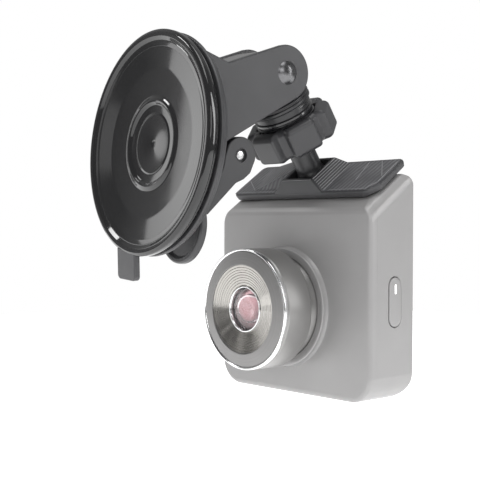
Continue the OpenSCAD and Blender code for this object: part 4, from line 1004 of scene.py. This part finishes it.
irisLip = spin("irisLip", roundCorners([(3.6, tip + 3.7), (4.2, tip + 3.62), (4.3, tip + 3.85),
    (3.6, tip + 3.95)], 0.05, 3), lensAxis, 96)
fit(irisLip, "lens", chromePlate, "lens_glass")
fit(innerElement, "lens", roseCoating, "lens_glass")
print("lens made")

lowest = cadBox[0][2] if not isinstance(cadBox, dict) else cadBox["min"][2]
studio = {"floorDrop": 0.055, "fill": 0.55, "roomGloss": 0.16, "sweepGloss": 0.34, "floorGlow": 0.7}
floorMaterial, floorTree, floorPlace = startMaterial("palePaperSweep")
floorNoise = addNode(floorTree, "ShaderNodeTexNoise", {"Scale": 3.0}, {"Vector": floorPlace})
floorTone = addNode(floorTree, "ShaderNodeMix", twoTones({"dark": "#f6f6f6", "light": "#fbfbfb"}),
    {0: floorNoise.outputs["Fac"]})
floorSurface = addNode(floorTree, "ShaderNodeBsdfPrincipled", {"Roughness": 0.9, "Specular IOR Level": 0.0,
    "Emission Strength": studio["floorGlow"], "Emission Color": (1.0, 1.0, 1.0, 1.0)},
    {"Base Color": floorTone.outputs[2]})
closeMaterial(floorTree, floorSurface)
floor = meshFrom("floor", [(-0.9, -0.9, 0), (0.9, -0.9, 0), (0.9, 0.9, 0), (-0.9, 0.9, 0)], [(0, 1, 2, 3)],
    Matrix.Translation((0, 0, lowest - studio["floorDrop"])))
floor.data.materials.append(floorMaterial)

world = bpy.data.worlds.new("softStudio")
scene.world = world
world.use_nodes = True
world.node_tree.nodes.clear()
skyTree = world.node_tree
skyWay = addNode(skyTree, "ShaderNodeTexCoord").outputs["Generated"]
# white sweep behind the object, dim room on the other side: it shows only as gloss
behind = addNode(skyTree, "ShaderNodeVectorMath", {"operation": "DOT_PRODUCT", 1: (-0.74, 0.66, 0.1)},
    {0: skyWay})
gloss = addNode(skyTree, "ShaderNodeMapRange", {"From Min": 0.3, "From Max": 0.42,
    "To Min": studio["roomGloss"], "To Max": studio["sweepGloss"]}, {"Value": behind.outputs["Value"]})
paths = addNode(skyTree, "ShaderNodeLightPath")
fill = addNode(skyTree, "ShaderNodeMix", {2: studio["fill"]}, {0: paths.outputs["Is Diffuse Ray"],
    2: gloss.outputs[0]})
fill.inputs[3].default_value = studio["fill"]
skyLight = addNode(skyTree, "ShaderNodeBackground", {"Color": (1.0, 1.0, 1.0, 1.0)},
    {"Strength": fill.outputs[0]})
paper = addNode(skyTree, "ShaderNodeBackground", {"Color": (1.0, 1.0, 1.0, 1.0), "Strength": 1.0})
skyMix = addNode(skyTree, "ShaderNodeMixShader", {}, {0: paths.outputs["Is Camera Ray"], 1: skyLight.outputs[0],
    2: paper.outputs[0]})
addNode(skyTree, "ShaderNodeOutputWorld", {}, {"Surface": skyMix.outputs[0]})


def softbox(name, place, target, width, height, power):
    data = bpy.data.lights.new(name, "AREA")
    data.shape, data.size, data.size_y, data.energy = "RECTANGLE", width, height, power
    obj = bpy.data.objects.new(name, data)
    scene.collection.objects.link(obj)
    obj.location = place
    obj.rotation_euler = (Vector(target) - Vector(place)).to_track_quat("-Z", "Y").to_euler()
    return obj


softbox("topLight", (0.15, -0.1, 0.8), (0, 0.04, -0.02), 0.55, 0.55, 2.8)
softbox("keyLight", (0.75, -0.55, 0.35), (0, 0.04, -0.03), 0.45, 0.45, 2.0)
softbox("sidePanel", (-0.89, -0.235, 0.05), (0, 0, 0), 0.25, 0.5, 0.62)  # the large pale shape in the cup
softbox("frontPanel", (-0.73, -0.65, 0.14), (0, 0, 0), 0.11, 0.12, 0.022)  # the dimmer shape beside it
softbox("coneLight", (-0.55, -0.42, 0.66), (0, 0.04, -0.05), 0.2, 0.2, 1.3)  # upright streak in the spun cone
softbox("rimStrip", (0.62, 0.42, 0.25), (0, 0.05, 0.0), 0.12, 0.6,
    1.4)  # glints on the thread and the right edges

view = {"eye": (0.2535075, -0.184609, -0.0265798), "azimuth": 48.43, "elevation": 0.69, "roll": 0.18,
    "focalMm": 75.0}
a, e, roll = (math.radians(view[k]) for k in ("azimuth", "elevation", "roll"))
ahead = Vector((-math.sin(a) * math.cos(e), math.cos(a) * math.cos(e), -math.sin(e)))
right = Vector((math.cos(a), math.sin(a), 0))
above = right.cross(ahead)
right, above = right * math.cos(roll) + above * math.sin(roll), above * math.cos(roll) - right * math.sin(roll)
cameraData = bpy.data.cameras.new("camera")
cameraData.lens, cameraData.sensor_width = view["focalMm"], 36.0
cameraData.clip_start, cameraData.clip_end = 0.01, 50.0
camera = bpy.data.objects.new("camera", cameraData)
scene.collection.objects.link(camera)
camera.matrix_world = Matrix.Translation(view["eye"]) @ Matrix((right, above, -ahead)).transposed().to_4x4()
scene.camera = camera
scene.view_settings.view_transform = "Standard"


print("stage ready")
